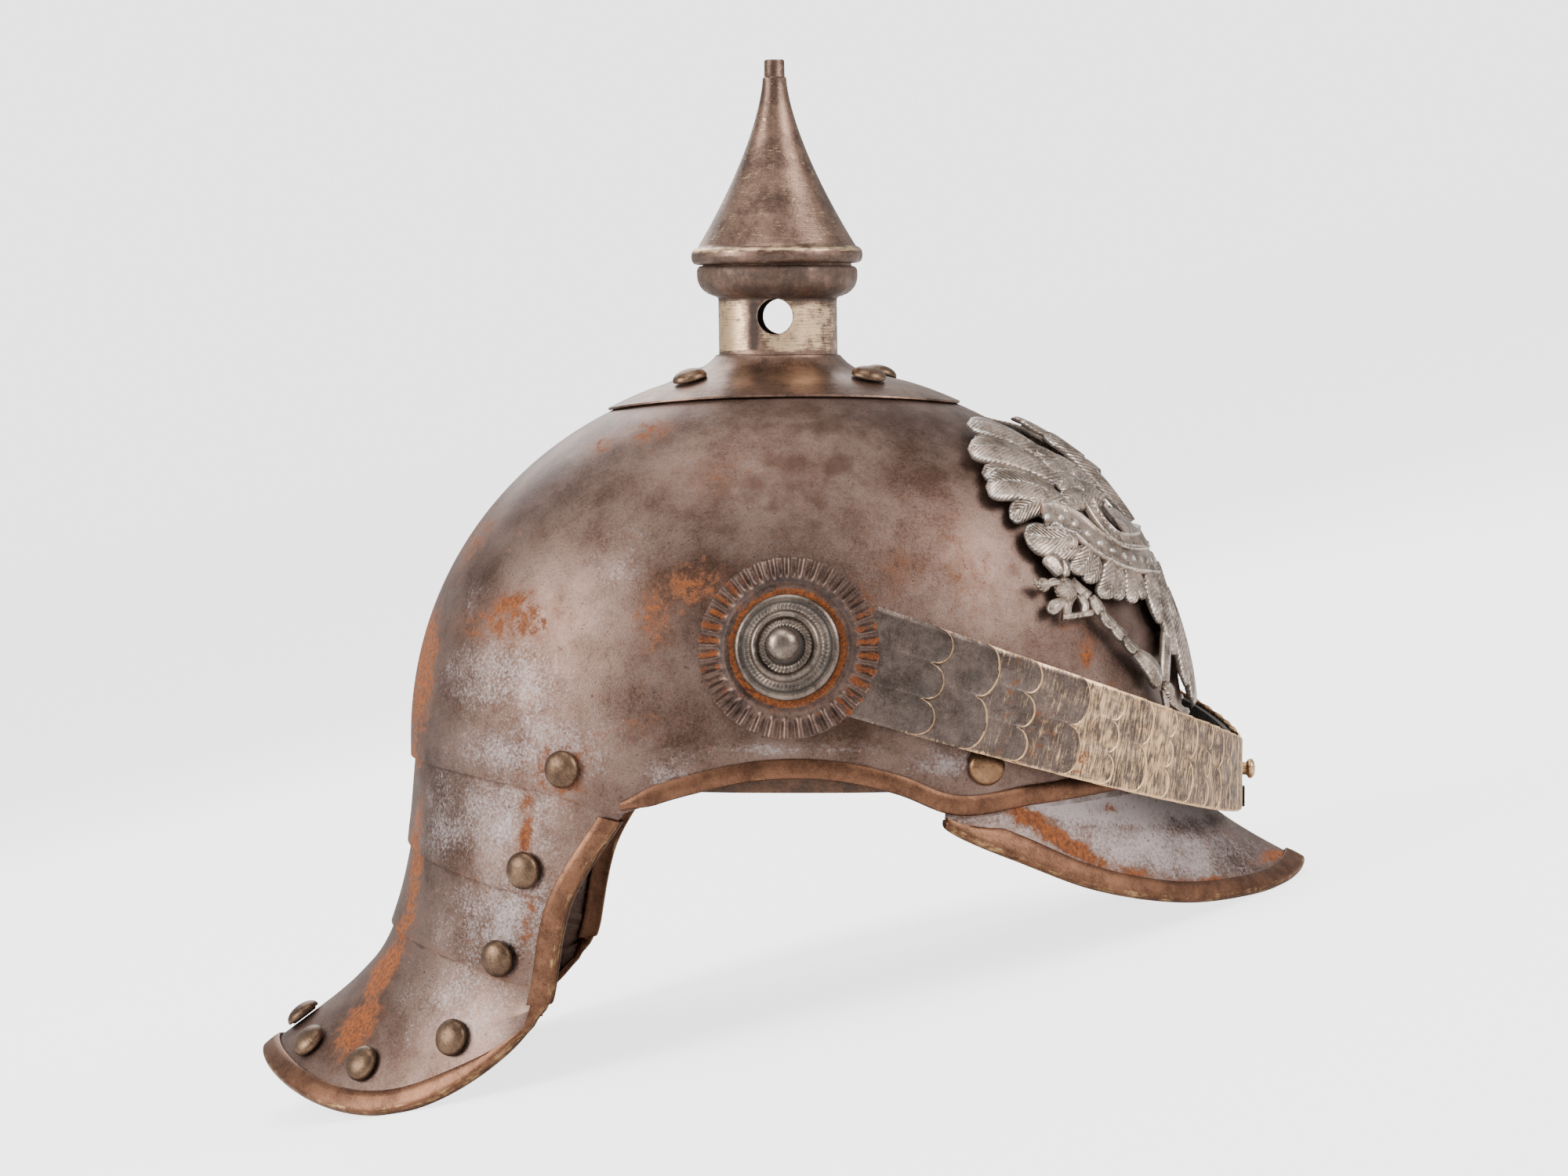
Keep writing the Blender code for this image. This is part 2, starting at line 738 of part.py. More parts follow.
def side_angle(forward):
    """Angle of the near side's plan at a distance forward."""
    reach = skull_front if forward >= 0 else skull_back
    return math.pi / 2 - math.copysign(math.asin((abs(forward) / reach) ** (plan_fullness / 2)), forward)


def build_rosettes(parent):
    for side, hand in ((-1, "right"), (1, "left")):
        point, normal = skull_frame(side_angle(rosette_forward), rosette_rise)
        normal = np.array(Matrix.Rotation(rosette_turn, 3, "Z") @ Vector(normal))
        point, normal = point * (1, side, 1), normal * (1, side, 1)
        seat = point + normal * (gap + rosette_hub_radius * math.sin(rosette_turn))
        rings = (
            (rosette_bore, rosette_stand_off + rosette_wall, 0),
            (rosette_radius * 0.76, rosette_stand_off + rosette_wall, 0),
            (rosette_radius, rosette_stand_off + rosette_wall * 0.6, 1),
            (rosette_radius, rosette_stand_off - rosette_wall * 0.4, 1),
            (rosette_radius * 0.76, rosette_stand_off, 0),
            (rosette_hub_radius, rosette_stand_off, 0),
            (rosette_hub_radius, 0, 0),
            (rosette_bore, 0, 0),
        )
        turns = np.linspace(0, 2 * math.pi, 2 * flute_count, endpoint=False)
        flutes = np.where(np.arange(2 * flute_count) % 2 == 0, 0.5, -0.5) * flute_depth
        rows = [np.stack([radius * np.cos(turns), radius * np.sin(turns), height + depth * flutes], axis=-1)
                for radius, height, depth in rings]
        bm, _ = closed_rows(rows, True, wrap=True)
        disc = finish_object(f"rosette_{hand}", bm, bronze, parent)
        disc.location = seat
        disc.rotation_mode = "QUATERNION"
        disc.rotation_quaternion = Vector(normal).to_track_quat("Z", "Y")

        profile = [(0, 0)]
        for radius, height in ((1, 0), (1, 0.18), (0.9, 0.34), (0.83, 0.3), (0.74, 0.46), (0.66, 0.43),
                               (0.55, 0.62), (0.4, 0.62), (0.3, 0.85), (0.15, 0.97)):
            profile.append((boss_radius * radius, boss_height * height))
        profile.append((0, boss_height))
        boss_seat = seat + normal * (rosette_stand_off + rosette_wall + gap)
        turned(f"boss_{hand}", profile, round_cells, pewter, parent, (boss_seat, normal))


def place_rivet(name, point, normal, parent):
    for side, hand in ((-1, "right"), (1, "left")):
        mirror = np.array((1, side, 1))
        turned(f"{name}_{hand}", dome(rivet_radius, rivet_height), rivet_cells, bronze, parent,
               (point * mirror, normal * mirror))


# Rivets of the neck guard: name, across, level
lame_rivet_table = (
    ("lame_rivet_1", 0.845, 0.762),
    ("lame_rivet_2", 0.83, 1.75),
    ("tail_rivet_1", 0.729, 3.12),
    ("tail_rivet_2", 0.483, 3.55),
    ("tail_rivet_3", 0.238, 3.64),
)
tail_middle_level = 3.61


def build_rivets(parent):
    seat = 2 * gap
    for name, forward, rise in (("skull_rivet", -0.061, -0.0025), ("brow_rivet", 0.0667, -0.001)):
        point, normal = skull_frame(side_angle(forward), 0.0)
        point = point + normal * seat
        point[2] = brow_level + rise
        place_rivet(name, point, unit(normal * (1, 1, 0)), parent)
    for name, across, level in lame_rivet_table:
        normal = tail_normals(across, level)
        place_rivet(name, tail_point(across, level) + normal * seat * 1.5, normal, parent)
    normal = tail_normals(0, tail_middle_level)
    turned("tail_rivet_middle", dome(rivet_radius, rivet_height), rivet_cells, bronze, parent,
           (tail_point(0, tail_middle_level) + normal * seat * 1.5, normal))


# Chin straps

def strap_centre(share):
    """Middle line of the loop, from -1 at one rosette over the front to 1 at the other."""
    share = np.asarray(share, float)
    angle = share * strap_end_angle
    power = 2 / plan_fullness
    rise = strap_front_rise + strap_climb * np.abs(share) ** 1.6
    return np.stack([strap_reach * signed_power(np.cos(angle), power),
                     strap_half_width * signed_power(np.sin(angle), power), brow_level + rise], axis=-1)


def strap_point(share, across):
    """Point of the strap's inner face: across runs from -0.5 at the lower edge to 0.5 at the upper edge."""
    share, across = np.broadcast_arrays(np.asarray(share, float), np.asarray(across, float))
    step = 0.003
    centre = strap_centre(share)
    along = unit(strap_centre(np.clip(share + step, -1, 1)) - strap_centre(np.clip(share - step, -1, 1)))
    outward = unit(np.stack([along[..., 1], -along[..., 0], np.zeros_like(share)], axis=-1))
    outward *= np.sign(np.sum(outward * centre, axis=-1, keepdims=True))
    tilt = (strap_lean * np.abs(share) ** 2)[..., None]
    upright = np.array((0, 0, 1.0))
    up = upright * np.cos(tilt) - outward * np.sin(tilt)
    up = unit(up - along * np.sum(up * along, axis=-1, keepdims=True))
    width = strap_front_width + strap_widening * np.abs(share)
    return centre + up * (width * across)[..., None], outward * np.cos(tilt) + upright * np.sin(tilt)


def build_straps(parent):
    shares = np.linspace(-1, 1, 37)
    grid_across, grid_share = np.meshgrid((-0.46, 0.46), shares)
    points, normals = strap_point(grid_share, grid_across)
    shell("strap_leather", points, normals, leather_wall, 0, False, leather, parent)

    front_share = buckle_half_width * 1.15 / strap_reach
    stations = np.linspace(-0.5, 0.5, 7)
    lobes = np.where(np.arange(7) % 2 == 1, 1.0, 0.0)
    lobes[[0, -1]] = -0.3
    half_length = strap_reach * strap_end_angle
    for side, hand in ((-1, "right"), (1, "left")):
        edges = np.linspace(1, front_share, scale_count + 1)
        places, heights, scallop = [], [], []
        for number, (start, end) in enumerate(zip(edges, edges[1:])):
            last = number == scale_count - 1
            early = 0.0 if number == 0 else 0.04
            for share, height in ((early, 0), (1, 1)):
                places.append(start + (end - start) * share)
                heights.append(scale_wall + scale_step * height)
                ends = (number == 0 and share == 0) or (last and share == 1)
                scallop.append(0 if ends else 1)
        lobe = np.outer(scallop, lobes) * scale_lobe / half_length
        share = np.array(places)[:, None] - lobe
        grid_across = np.broadcast_to(stations, share.shape)
        points, normals = strap_point(share * side, grid_across)
        base = leather_wall + gap
        outer = base + np.array(heights)[:, None] + 0 * share
        shell(f"strap_scales_{hand}", points, normals, outer, base, False, brass, parent)

    # Where the two halves meet over the peak: a plate, a hook and a tab
    base = leather_wall + gap
    reach = buckle_half_width / half_length
    grid_across, grid_share = np.meshgrid((-0.46, 0.46), np.linspace(-reach, reach, 4) * 0.62)
    points, normals = strap_point(grid_share, grid_across)
    shell("strap_buckle", points, normals, base + buckle_wall, base, False, brass, parent)
    point, normal = strap_point(0, 0.05)
    high = base + buckle_wall + gap
    hook = [(0, 0), (0.65, 0), (0.65, 0.35), (1, 0.55), (0.9, 0.85), (0, 1)]
    profile = [(hook_radius * wide, hook_length * long) for wide, long in hook]
    turned("strap_hook", profile, rivet_cells, brass, parent, (point + normal * high, normal))
    grid_across, grid_share = np.meshgrid((-0.48, -0.34, -0.2), (-0.4 * reach, 0.4 * reach))
    points, normals = strap_point(grid_share, grid_across)
    shell("strap_tab", points, normals, high + tab_wall, high, False, leather, parent)


# Relief eagle. Its drawing is flat, with across from the middle and up from the brow level, and it is bent
# onto the front of the skull.

def eagle_frame(flat):
    """Point on the skull under a flat place, and the direction straight out of it."""
    flat = np.asarray(flat, float)

    def on_skull(across, up):
        swing = across / skull_half_width
        turn = up / eagle_radius
        x = np.cos(swing) * np.cos(turn)
        y = np.sin(swing)
        z = np.cos(swing) * np.sin(turn)
        angle = np.arctan2(np.abs(y) ** (plan_fullness / 2), np.abs(x) ** (plan_fullness / 2))
        flat_share = (np.abs(x) ** plan_fullness + np.abs(y) ** plan_fullness) ** (1 / plan_fullness)
        fullness = side_fullness(angle)
        scale = (flat_share ** fullness + np.abs(z) ** fullness) ** (-1 / fullness)
        ahead = crown_shift * (1 - flat_share * scale)
        return np.stack([skull_front * x * scale + ahead, skull_half_width * y * scale,
                         brow_level + crown_height * z * scale], axis=-1)

    step = 0.001
    across, up = flat[..., 0], flat[..., 1]
    sideways = on_skull(across + step, up) - on_skull(across - step, up)
    rising = on_skull(across, up + step) - on_skull(across, up - step)
    return on_skull(across, up), unit(np.cross(sideways, rising))


def eagle_sheet(flat, low, high, name, parent):
    """A curved sheet over a flat grid, between two heights above the skull."""
    points, normals = eagle_frame(flat)
    return shell(name, points, normals, high, low, False, pewter, parent)


def fan(root, tips, notch, rows, mirror):
    """Flat grid of joined feathers, from a root line out to tips with notches between them."""
    tips = np.array(tips) * (mirror, 1)
    root = np.array(root) * (mirror, 1)
    stations = 2 * len(tips) + 1
    spread = np.linspace(0, 1, stations)
    roots = root[0] + (root[1] - root[0]) * spread[:, None]
    places = (np.arange(len(tips)) + 0.5) / len(tips)
    ends = np.stack([np.interp(spread, places, tips[:, k]) for k in (0, 1)], axis=-1)
    reach = np.where(np.arange(stations) % 2 == 1, 1.0, notch)
    ends = roots + (ends - roots) * reach[:, None]
    steps = np.linspace(0, 1, rows)[:, None, None]
    return roots + (ends - roots) * steps


def ribbon(line, width, mirror):
    """Flat grid of a ribbon along a line of points, with one width or one for each point."""
    line = np.array(line) * (mirror, 1)
    along = unit(np.gradient(line, axis=0))
    side = np.stack([-along[:, 1], along[:, 0]], axis=-1) * (np.broadcast_to(width, len(line)) / 2)[:, None]
    return np.stack([line - side, line, line + side], axis=1)


def oval(centre, across, up, count):
    """Flat grid over an oval, from a square of points pressed into a disc."""
    steps = np.linspace(-1, 1, count)
    u, v = np.meshgrid(steps, steps)
    x = u * np.sqrt(1 - v * v / 2)
    y = v * np.sqrt(1 - u * u / 2)
    return np.stack([centre[0] + across * x, centre[1] + up * y], axis=-1)


# Flat places in metres, on the near side: across, up
wing_root = ((0.010, 0.098), (0.014, 0.070))
wing_tips = ((0.0335, 0.1325), (0.050, 0.128), (0.059, 0.1175), (0.0665, 0.108), (0.0655, 0.0965),
             (0.062, 0.086), (0.051, 0.078))
thigh_root = ((0.012, 0.066), (0.010, 0.050))
thigh_tips = ((0.057, 0.074), (0.052, 0.063), (0.043, 0.054), (0.030, 0.047))
tail_root = ((-0.012, 0.050), (0.012, 0.050))
tail_tips = ((-0.026, 0.024), (-0.015, 0.013), (0.0, 0.009), (0.015, 0.013), (0.026, 0.024))
scroll_line = ((0.057, 0.099), (0.0535, 0.088), (0.046, 0.075), (0.033, 0.065), (0.0165, 0.0595),
               (0.0, 0.0575))
leg_line = ((0.010, 0.047), (0.021, 0.039), (0.031, 0.030), (0.038, 0.0225))
scepter_line = ((0.0325, 0.0105), (0.0405, 0.0225), (0.050, 0.0375), (0.058, 0.053), (0.0655, 0.068))


def build_eagle(parent):
    lift = eagle_stand_off
    wall = eagle_wall
    parts = []

    def add(flat, low, thickness, rise=0.0):
        base = lift + low + rise * np.linspace(0, 1, len(flat))[:, None]
        parts.append(eagle_sheet(flat, base, base + thickness, f"eagle_part_{len(parts)}", parent))

    for mirror in (-1, 1):
        add(fan(wing_root, wing_tips, 0.86, 5, mirror), wing_lift, wall, wing_rise)
        add(fan(thigh_root, thigh_tips, 0.84, 4, mirror), 0.0001, wall)
        add(ribbon(leg_line, 0.006, mirror), 0.0003, wall * 1.2)
        add(ribbon(scepter_line, (0.004, 0.0035, 0.0035, 0.0035, 0.005), mirror), 0.0008, wall)
        add(oval((0.0675 * mirror, 0.072), 0.007, 0.0085, 4), 0.0004, wall * 1.15)
    add(oval((0, 0.070), 0.0175, 0.026, 5), -0.0003, wall * 2.1)
    add(oval((0.003, 0.099), 0.0085, 0.011, 4), 0.0002, wall * 1.5)
    add(fan(tail_root, tail_tips, 0.85, 4, 1), 0.0002, wall * 1.1, tail_settle)
    line = np.array(scroll_line)
    whole = np.concatenate([line, line[-2::-1] * (-1, 1)])
    add(ribbon(whole, 0.0115, 1), 0.0011, wall * 1.1)

    # Screw posts that carry the plate on the skull
    wing_top = wing_lift + wing_rise * 0.4
    places = ((0.03, 0.098, wing_top), (-0.03, 0.098, wing_top), (0, 0.03, 0))
    for number, (across, up, extra) in enumerate(places):
        point, normal = eagle_frame((across, up))
        top = lift + extra + 0.4 * wall
        profile = [(0, 0), (post_radius, 0), (post_radius, top), (0, top)]
        parts.append(turned(f"eagle_post_{number}", profile, rivet_cells, pewter, parent,
                            (point + normal * gap * 1.5, normal)))

    eagle = parts[-4]
    eagle.name = "eagle_plate"
    for part in parts:
        if part is eagle:
            continue
        part.hide_render = True
        part.display_type = "WIRE"
        join = eagle.modifiers.new(part.name, "BOOLEAN")
        join.operation = "UNION"
        join.solver = "EXACT"
        join.object = part


def rest(parent):
    """Tips the helmet forward until the tail rim and the peak rim touch the ground, and centres its box."""
    bpy.context.view_layer.update()
    points = []
    for item in bpy.context.scene.collection.objects:
        if item.type == "MESH" and not item.hide_render:
            points += [item.matrix_world @ vertex.co for vertex in item.data.vertices]
    points = np.array(points)
    low, high = math.radians(-5), math.radians(40)
    for _ in range(50):
        pitch = (low + high) / 2
        height = points[:, 2] * math.cos(pitch) - points[:, 0] * math.sin(pitch)
        behind = height[points[:, 0] < 0].min()
        ahead = height[points[:, 0] > 0].min()
        if ahead > behind:
            low = pitch
        else:
            high = pitch
    turned_x = points[:, 0] * math.cos(pitch) + points[:, 2] * math.sin(pitch)
    height = points[:, 2] * math.cos(pitch) - points[:, 0] * math.sin(pitch)
    parent.rotation_euler = (0, pitch, 0)
    parent.location = (-(turned_x.min() + turned_x.max()) / 2, 0, -height.min())
    bpy.context.view_layer.update()
    print("pitch", math.degrees(pitch), "shift", tuple(parent.location))


def main():
    clear_scene()
    helmet = bpy.data.objects.new("helmet", None)
    bpy.context.scene.collection.objects.link(helmet)
    build_skull(helmet)
    build_sweatband(helmet)
    build_rim_band(helmet)
    build_peak(helmet)
    build_lames(helmet)
    build_tail_trim(helmet)
    build_spike(helmet)
    build_rosettes(helmet)
    build_rivets(helmet)
    build_straps(helmet)
    build_eagle(helmet)
    rest(helmet)


main()
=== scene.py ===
import math

import bmesh
import bpy
import numpy as np
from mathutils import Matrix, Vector


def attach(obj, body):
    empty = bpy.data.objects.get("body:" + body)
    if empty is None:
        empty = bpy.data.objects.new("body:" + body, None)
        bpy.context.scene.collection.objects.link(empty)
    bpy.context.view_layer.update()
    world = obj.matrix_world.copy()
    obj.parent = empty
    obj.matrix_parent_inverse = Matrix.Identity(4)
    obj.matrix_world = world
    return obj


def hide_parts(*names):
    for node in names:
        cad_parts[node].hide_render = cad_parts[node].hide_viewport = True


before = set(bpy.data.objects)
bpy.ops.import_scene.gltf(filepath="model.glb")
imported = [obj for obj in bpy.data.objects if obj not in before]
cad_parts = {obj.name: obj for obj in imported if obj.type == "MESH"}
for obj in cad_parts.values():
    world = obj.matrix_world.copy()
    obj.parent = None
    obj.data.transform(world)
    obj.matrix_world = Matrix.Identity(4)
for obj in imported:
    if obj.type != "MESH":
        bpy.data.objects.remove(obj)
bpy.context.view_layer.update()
print("model loaded")

# From the worn place to the resting place
resting = {"pitch": math.radians(13.823679), "forward": -13.064575, "up": -36.851410}


def stand(points):
    # Each point turned forward about the y axis by the pitch, shifted, and put in metres.
    x, y, z = np.moveaxis(np.asarray(points, float), -1, 0)
    turn = resting["pitch"]
    ahead = x * math.cos(turn) + z * math.sin(turn) + resting["forward"]
    height = z * math.cos(turn) - x * math.sin(turn) + resting["up"]
    return np.stack([ahead, y, height], axis=-1) * 0.001


# Arithmetic on curves and grids

def curveThrough(places, values, at):
    # A cubic through the values, each with the slope of its neighbours.
    places, values = np.asarray(places, float), np.asarray(values, float)
    slopes = np.gradient(values, places)
    at = np.clip(at, places[0], places[-1])
    left = np.clip(np.searchsorted(places, at, side="right") - 1, 0, len(places) - 2)
    span = places[left + 1] - places[left]
    t = (at - places[left]) / span
    rise = values[left + 1] - values[left]
    start, end = slopes[left] * span, slopes[left + 1] * span
    square = t * t * (3 * rise - 2 * start - end)
    return values[left] + t * start + square + t ** 3 * (start + end - 2 * rise)


def signedPower(value, power):
    # The power of the size, with the sign kept.
    return np.sign(value) * np.abs(value) ** power


def unit(vectors):
    # Each vector divided by its length.
    return vectors / np.maximum(np.linalg.norm(vectors, axis=-1, keepdims=True), 1e-12)


def smooth(value, low, high):
    # Rises from 0 to 1 between low and high with flat ends.
    t = np.clip((value - low) / (high - low), 0, 1)
    return t * t * (3 - 2 * t)


def bell(value, middle, width):
    # One in the middle, and the exponential of minus the squared distance in widths away from it.
    return np.exp(-((value - middle) / width) ** 2)


def gridNormals(points, around, inside):
    # Cross product of the steps along the two ways of the grid, turned away from a point inside.
    if around:
        across = np.roll(points, -1, axis=1) - np.roll(points, 1, axis=1)
    else:
        across = np.gradient(points, axis=1)
    normals = unit(np.cross(across, np.gradient(points, axis=0)))
    facing = np.sum(normals * (points - np.asarray(inside, float)))
    return -normals if facing < 0 else normals


def gridFaces(rows, columns, around, wrap):
    # Four corners for each cell; the last column joins the first if it goes around, the last row if it wraps.
    r, c = np.meshgrid(np.arange(rows if wrap else rows - 1), np.arange(columns if around else columns - 1),
                       indexing="ij")
    r, c = r.ravel(), c.ravel()
    below, after = (r + 1) % rows, (c + 1) % columns
    return np.stack([r * columns + c, r * columns + after, below * columns + after, below * columns + c],
                    axis=-1)


def closedGrid(points, around, marks=None, flow=None):
    # A loop of rows: the surface of a ring or strip. Open sides are closed by joining row k to its partner.
    rows, columns = points.shape[:2]
    faces = gridFaces(rows, columns, around, True)
    if not around:
        k = np.arange(rows // 2 - 1)
        partner, nextPartner = rows - 1 - k, rows - 2 - k
        for column, order in ((0, 1), (columns - 1, -1)):
            corners = np.stack([k, k + 1, nextPartner, partner], axis=-1) * columns + column
            faces = np.concatenate([faces, corners[:, ::order]])
    extras = [np.broadcast_to(0.0 if extra is None else extra, (rows, columns, 3)).reshape(-1, 3)
              for extra in (marks, flow)]
    return points.reshape(-1, 3), faces, *extras


def cappedBlock(points, marks, flow):
    # A loop of rows whose two open ends are closed by fans of four-cornered faces round a middle point.
    rows, columns = points.shape[:2]
    faces = gridFaces(rows, columns, False, True)
    verts, marks, flow = (values.reshape(-1, 3) for values in (points, marks, flow))
    for number, column in enumerate((0, columns - 1)):
        rim = np.arange(rows) * columns + column
        after = np.roll(rim, -1)
        first, second = (rim, after) if number == 0 else (after, rim)
        middle = np.full(rows, len(verts))
        verts = np.concatenate([verts, verts[rim].mean(axis=0, keepdims=True)])
        marks = np.concatenate([marks, marks[rim[:1]]])
        flow = np.concatenate([flow, flow[rim[:1]]])
        faces = np.concatenate([faces, np.stack([first, second, middle, middle], axis=-1)])
    return verts, faces, marks, flow


def sheetBlock(points, normals, outer, inner, around=False, marks=None, flow=None):
    # The grid pushed out by two offsets: the outer face, then the inner face in reverse, as one closed loop.
    shape = points.shape[:2]
    outer = np.broadcast_to(np.asarray(outer, float), shape)[..., None]
    inner = np.broadcast_to(np.asarray(inner, float), shape)[..., None]
    both = np.concatenate([points + normals * outer, (points + normals * inner)[::-1]])
    pair = [None if extra is None else np.concatenate([extra, extra[::-1]]) for extra in (marks, flow)]
    return closedGrid(both, around, *pair)


def turnedBlock(profile, columns, point, direction, marks=None):
    # A lathe piece: radius and height pairs turned about an axis that stands on a point.
    profile = np.asarray(profile, float)
    turn = np.linspace(0, 2 * math.pi, columns, endpoint=False)
    axis = unit(np.asarray(direction, float))
    side = unit(np.cross((0.3, 0.2, 0.9) if abs(axis[2]) < 0.9 else (1, 0, 0), axis))
    other = np.cross(axis, side)
    radius, height = profile[:, 0][:, None, None], profile[:, 1][:, None, None]
    points = point + radius * (np.cos(turn)[None, :, None] * side
                               + np.sin(turn)[None, :, None] * other) + height * axis
    flow = np.stack(np.broadcast_arrays(turn[None, :] * profile[:, :1].mean() * 2, profile[:, 1:],
                                        profile[:, :1]), axis=-1)
    marks = None if marks is None else np.asarray(marks, float)[:, None]
    return closedGrid(points, True, marks, flow)


def addObject(name, data):
    # A new object in the scene, unturned and at the origin.
    item = bpy.data.objects.new(name, data)
    bpy.context.scene.collection.objects.link(item)
    return item


def cleanMesh(mesh, turnOut=False):
    # Joins points that meet, drops faces without area and, where asked, turns the faces out.
    bm = bmesh.new()
    bm.from_mesh(mesh)
    bmesh.ops.remove_doubles(bm, verts=bm.verts, dist=1e-6)
    bmesh.ops.dissolve_degenerate(bm, edges=bm.edges, dist=1e-7)
    if turnOut:
        bmesh.ops.recalc_face_normals(bm, faces=bm.faces)
    bm.to_mesh(mesh)
    bm.free()


def makePiece(name, blocks, material, replaced, sharp=38):
    # Puts blocks of points, faces and marks into one mesh. Each block is turned to face out by its volume.
    verts, faces, marks, flows = [], [], [], []
    count = 0
    for points, cells, mark, flow in blocks:
        a, b, c, d = (points[cells[:, k]] for k in range(4))
        volume = np.sum(np.cross(a, b) * c) + np.sum(np.cross(a, c) * d)
        verts.append(points)
        faces.append((cells[:, ::-1] if volume < 0 else cells) + count)
        marks.append(mark)
        flows.append(flow)
        count += len(points)
    verts, faces = np.concatenate(verts), np.concatenate(faces)
    mesh = bpy.data.meshes.new(name)
    mesh.vertices.add(len(verts))
    mesh.vertices.foreach_set("co", stand(verts).ravel())
    mesh.loops.add(faces.size)
    mesh.loops.foreach_set("vertex_index", faces.ravel())
    mesh.polygons.add(len(faces))
    mesh.polygons.foreach_set("loop_start", np.arange(len(faces)) * 4)
    for label, values in (("place", verts * 0.1), ("marks", np.concatenate(marks)),
                          ("flow", np.concatenate(flows))):
        layer = mesh.attributes.new(label, "FLOAT_VECTOR", "POINT")
        layer.data.foreach_set("vector", values.astype(float).ravel())
    mesh.update(calc_edges=True)
    cleanMesh(mesh)
    mesh.shade_smooth()
    mesh.set_sharp_from_angle(angle=math.radians(sharp))
    mesh.materials.append(material)
    piece = addObject(name, mesh)
    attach(piece, "root")
    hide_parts(*replaced)
    return piece


def sideView(points):
    # Where a point is seen from the side, from 1.5 m off: x and z on the middle plane, alike on both sides.
    x, y, z = np.moveaxis(points, -1, 0)
    nearness = 1500 / (1500 - np.abs(y))
    return 74.25 + (x - 74.25) * nearness, 259.25 + (z - 259.25) * nearness


def patches(points, table):
    # The strongest of some soft ovals: strength times a bell curve of the distance in each oval's own axes.
    x, z = sideView(points)
    total = np.zeros(x.shape)
    for middleX, middleZ, long, short, angle, strength in table:
        turn = math.radians(angle)
        along = ((x - middleX) * math.cos(turn) + (z - middleZ) * math.sin(turn)) / long
        aside = ((z - middleZ) * math.cos(turn) - (x - middleX) * math.sin(turn)) / short
        total = np.maximum(total, strength * np.exp(-(along ** 2 + aside ** 2) ** 1.4))
    return total


# Materials

def newGroup(name, vectors, colors, values, outputs):
    # A group of shader nodes with named inputs, the numbers with their usual values, and named outputs.
    group = bpy.data.node_groups.new(name, "ShaderNodeTree")
    for labels, kind in ((vectors, "Vector"), (colors, "Color"), (values, "Float")):
        for label in labels:
            socket = group.interface.new_socket(label, in_out="INPUT", socket_type="NodeSocket" + kind)
            if kind == "Float":
                socket.default_value = values[label]
    for label in outputs:
        kind = "Color" if label == "Color" else "Float"
        group.interface.new_socket(label, in_out="OUTPUT", socket_type="NodeSocket" + kind)
    given, result = group.nodes.new("NodeGroupInput"), group.nodes.new("NodeGroupOutput")
    return Wires(group), given.outputs, result.inputs


class Wires:
    # Short ways to add nodes to one tree: each call returns the new node's output socket.
    def __init__(self, tree):
        self.tree = tree

    def plug(self, value, socket):
        if isinstance(value, bpy.types.NodeSocket):
            self.tree.links.new(value, socket)
        elif value is not None:
            asColor = isinstance(value, tuple) and len(value) == 3 and socket.type == "RGBA"
            socket.default_value = (*value, 1) if asColor else value

    def attribute(self, name):
        node = self.tree.nodes.new("ShaderNodeAttribute")
        node.attribute_name = name
        return node.outputs["Vector"]

    def parts(self, vector):
        node = self.tree.nodes.new("ShaderNodeSeparateXYZ")
        self.plug(vector, node.inputs[0])
        return node.outputs

    def stretch(self, vector, scale, turn=(0, 0, 0), shift=(0, 0, 0)):
        node = self.tree.nodes.new("ShaderNodeMapping")
        self.plug(vector, node.inputs["Vector"])
        node.inputs["Scale"].default_value = scale
        node.inputs["Rotation"].default_value = turn
        node.inputs["Location"].default_value = shift
        return node.outputs[0]

    def noise(self, vector, scale, detail=4.0, rough=0.55, warp=0.0):
        node = self.tree.nodes.new("ShaderNodeTexNoise")
        self.plug(vector, node.inputs["Vector"])
        self.plug(scale, node.inputs["Scale"])
        node.inputs["Detail"].default_value = detail
        node.inputs["Roughness"].default_value = rough
        node.inputs["Distortion"].default_value = warp
        return node.outputs["Fac"]

    def math(self, operation, a, b=None, c=None, clamp=False):
        node = self.tree.nodes.new("ShaderNodeMath")
        node.operation = operation
        node.use_clamp = clamp
        for value, socket in zip((a, b, c), node.inputs):
            self.plug(value, socket)
        return node.outputs[0]

    def add(self, a, b, clamp=False):
        return self.math("ADD", a, b, clamp=clamp)

    def times(self, a, b):
        return self.math("MULTIPLY", a, b)

    def around(self, value, middle, share):
        return self.times(self.math("SUBTRACT", value, middle), share)

    def ramp(self, value, low, high, outLow=0.0, outHigh=1.0):
        node = self.tree.nodes.new("ShaderNodeMapRange")
        node.interpolation_type = "SMOOTHSTEP"
        self.plug(value, node.inputs["Value"])
        for label, number in (("From Min", low), ("From Max", high), ("To Min", outLow),
                              ("To Max", outHigh)):
            node.inputs[label].default_value = number
        return node.outputs[0]

    def mix(self, share, a, b, blend="MIX"):
        node = self.tree.nodes.new("ShaderNodeMix")
        node.data_type = "RGBA"
        node.blend_type = blend
        node.clamp_factor = True
        self.plug(share, node.inputs["Factor"])
        self.plug(a, node.inputs[6])
        self.plug(b, node.inputs[7])
        return node.outputs[2]

    def blend(self, share, a, b):
        node = self.tree.nodes.new("ShaderNodeMix")
        node.data_type = "FLOAT"
        self.plug(share, node.inputs["Factor"])
        self.plug(a, node.inputs[2])
        self.plug(b, node.inputs[3])
        return node.outputs[0]

    def bump(self, height, strength, distance=0.0004):
        node = self.tree.nodes.new("ShaderNodeBump")
        node.inputs["Strength"].default_value = strength
        node.inputs["Distance"].default_value = distance
        self.plug(height, node.inputs["Height"])
        return node.outputs[0]


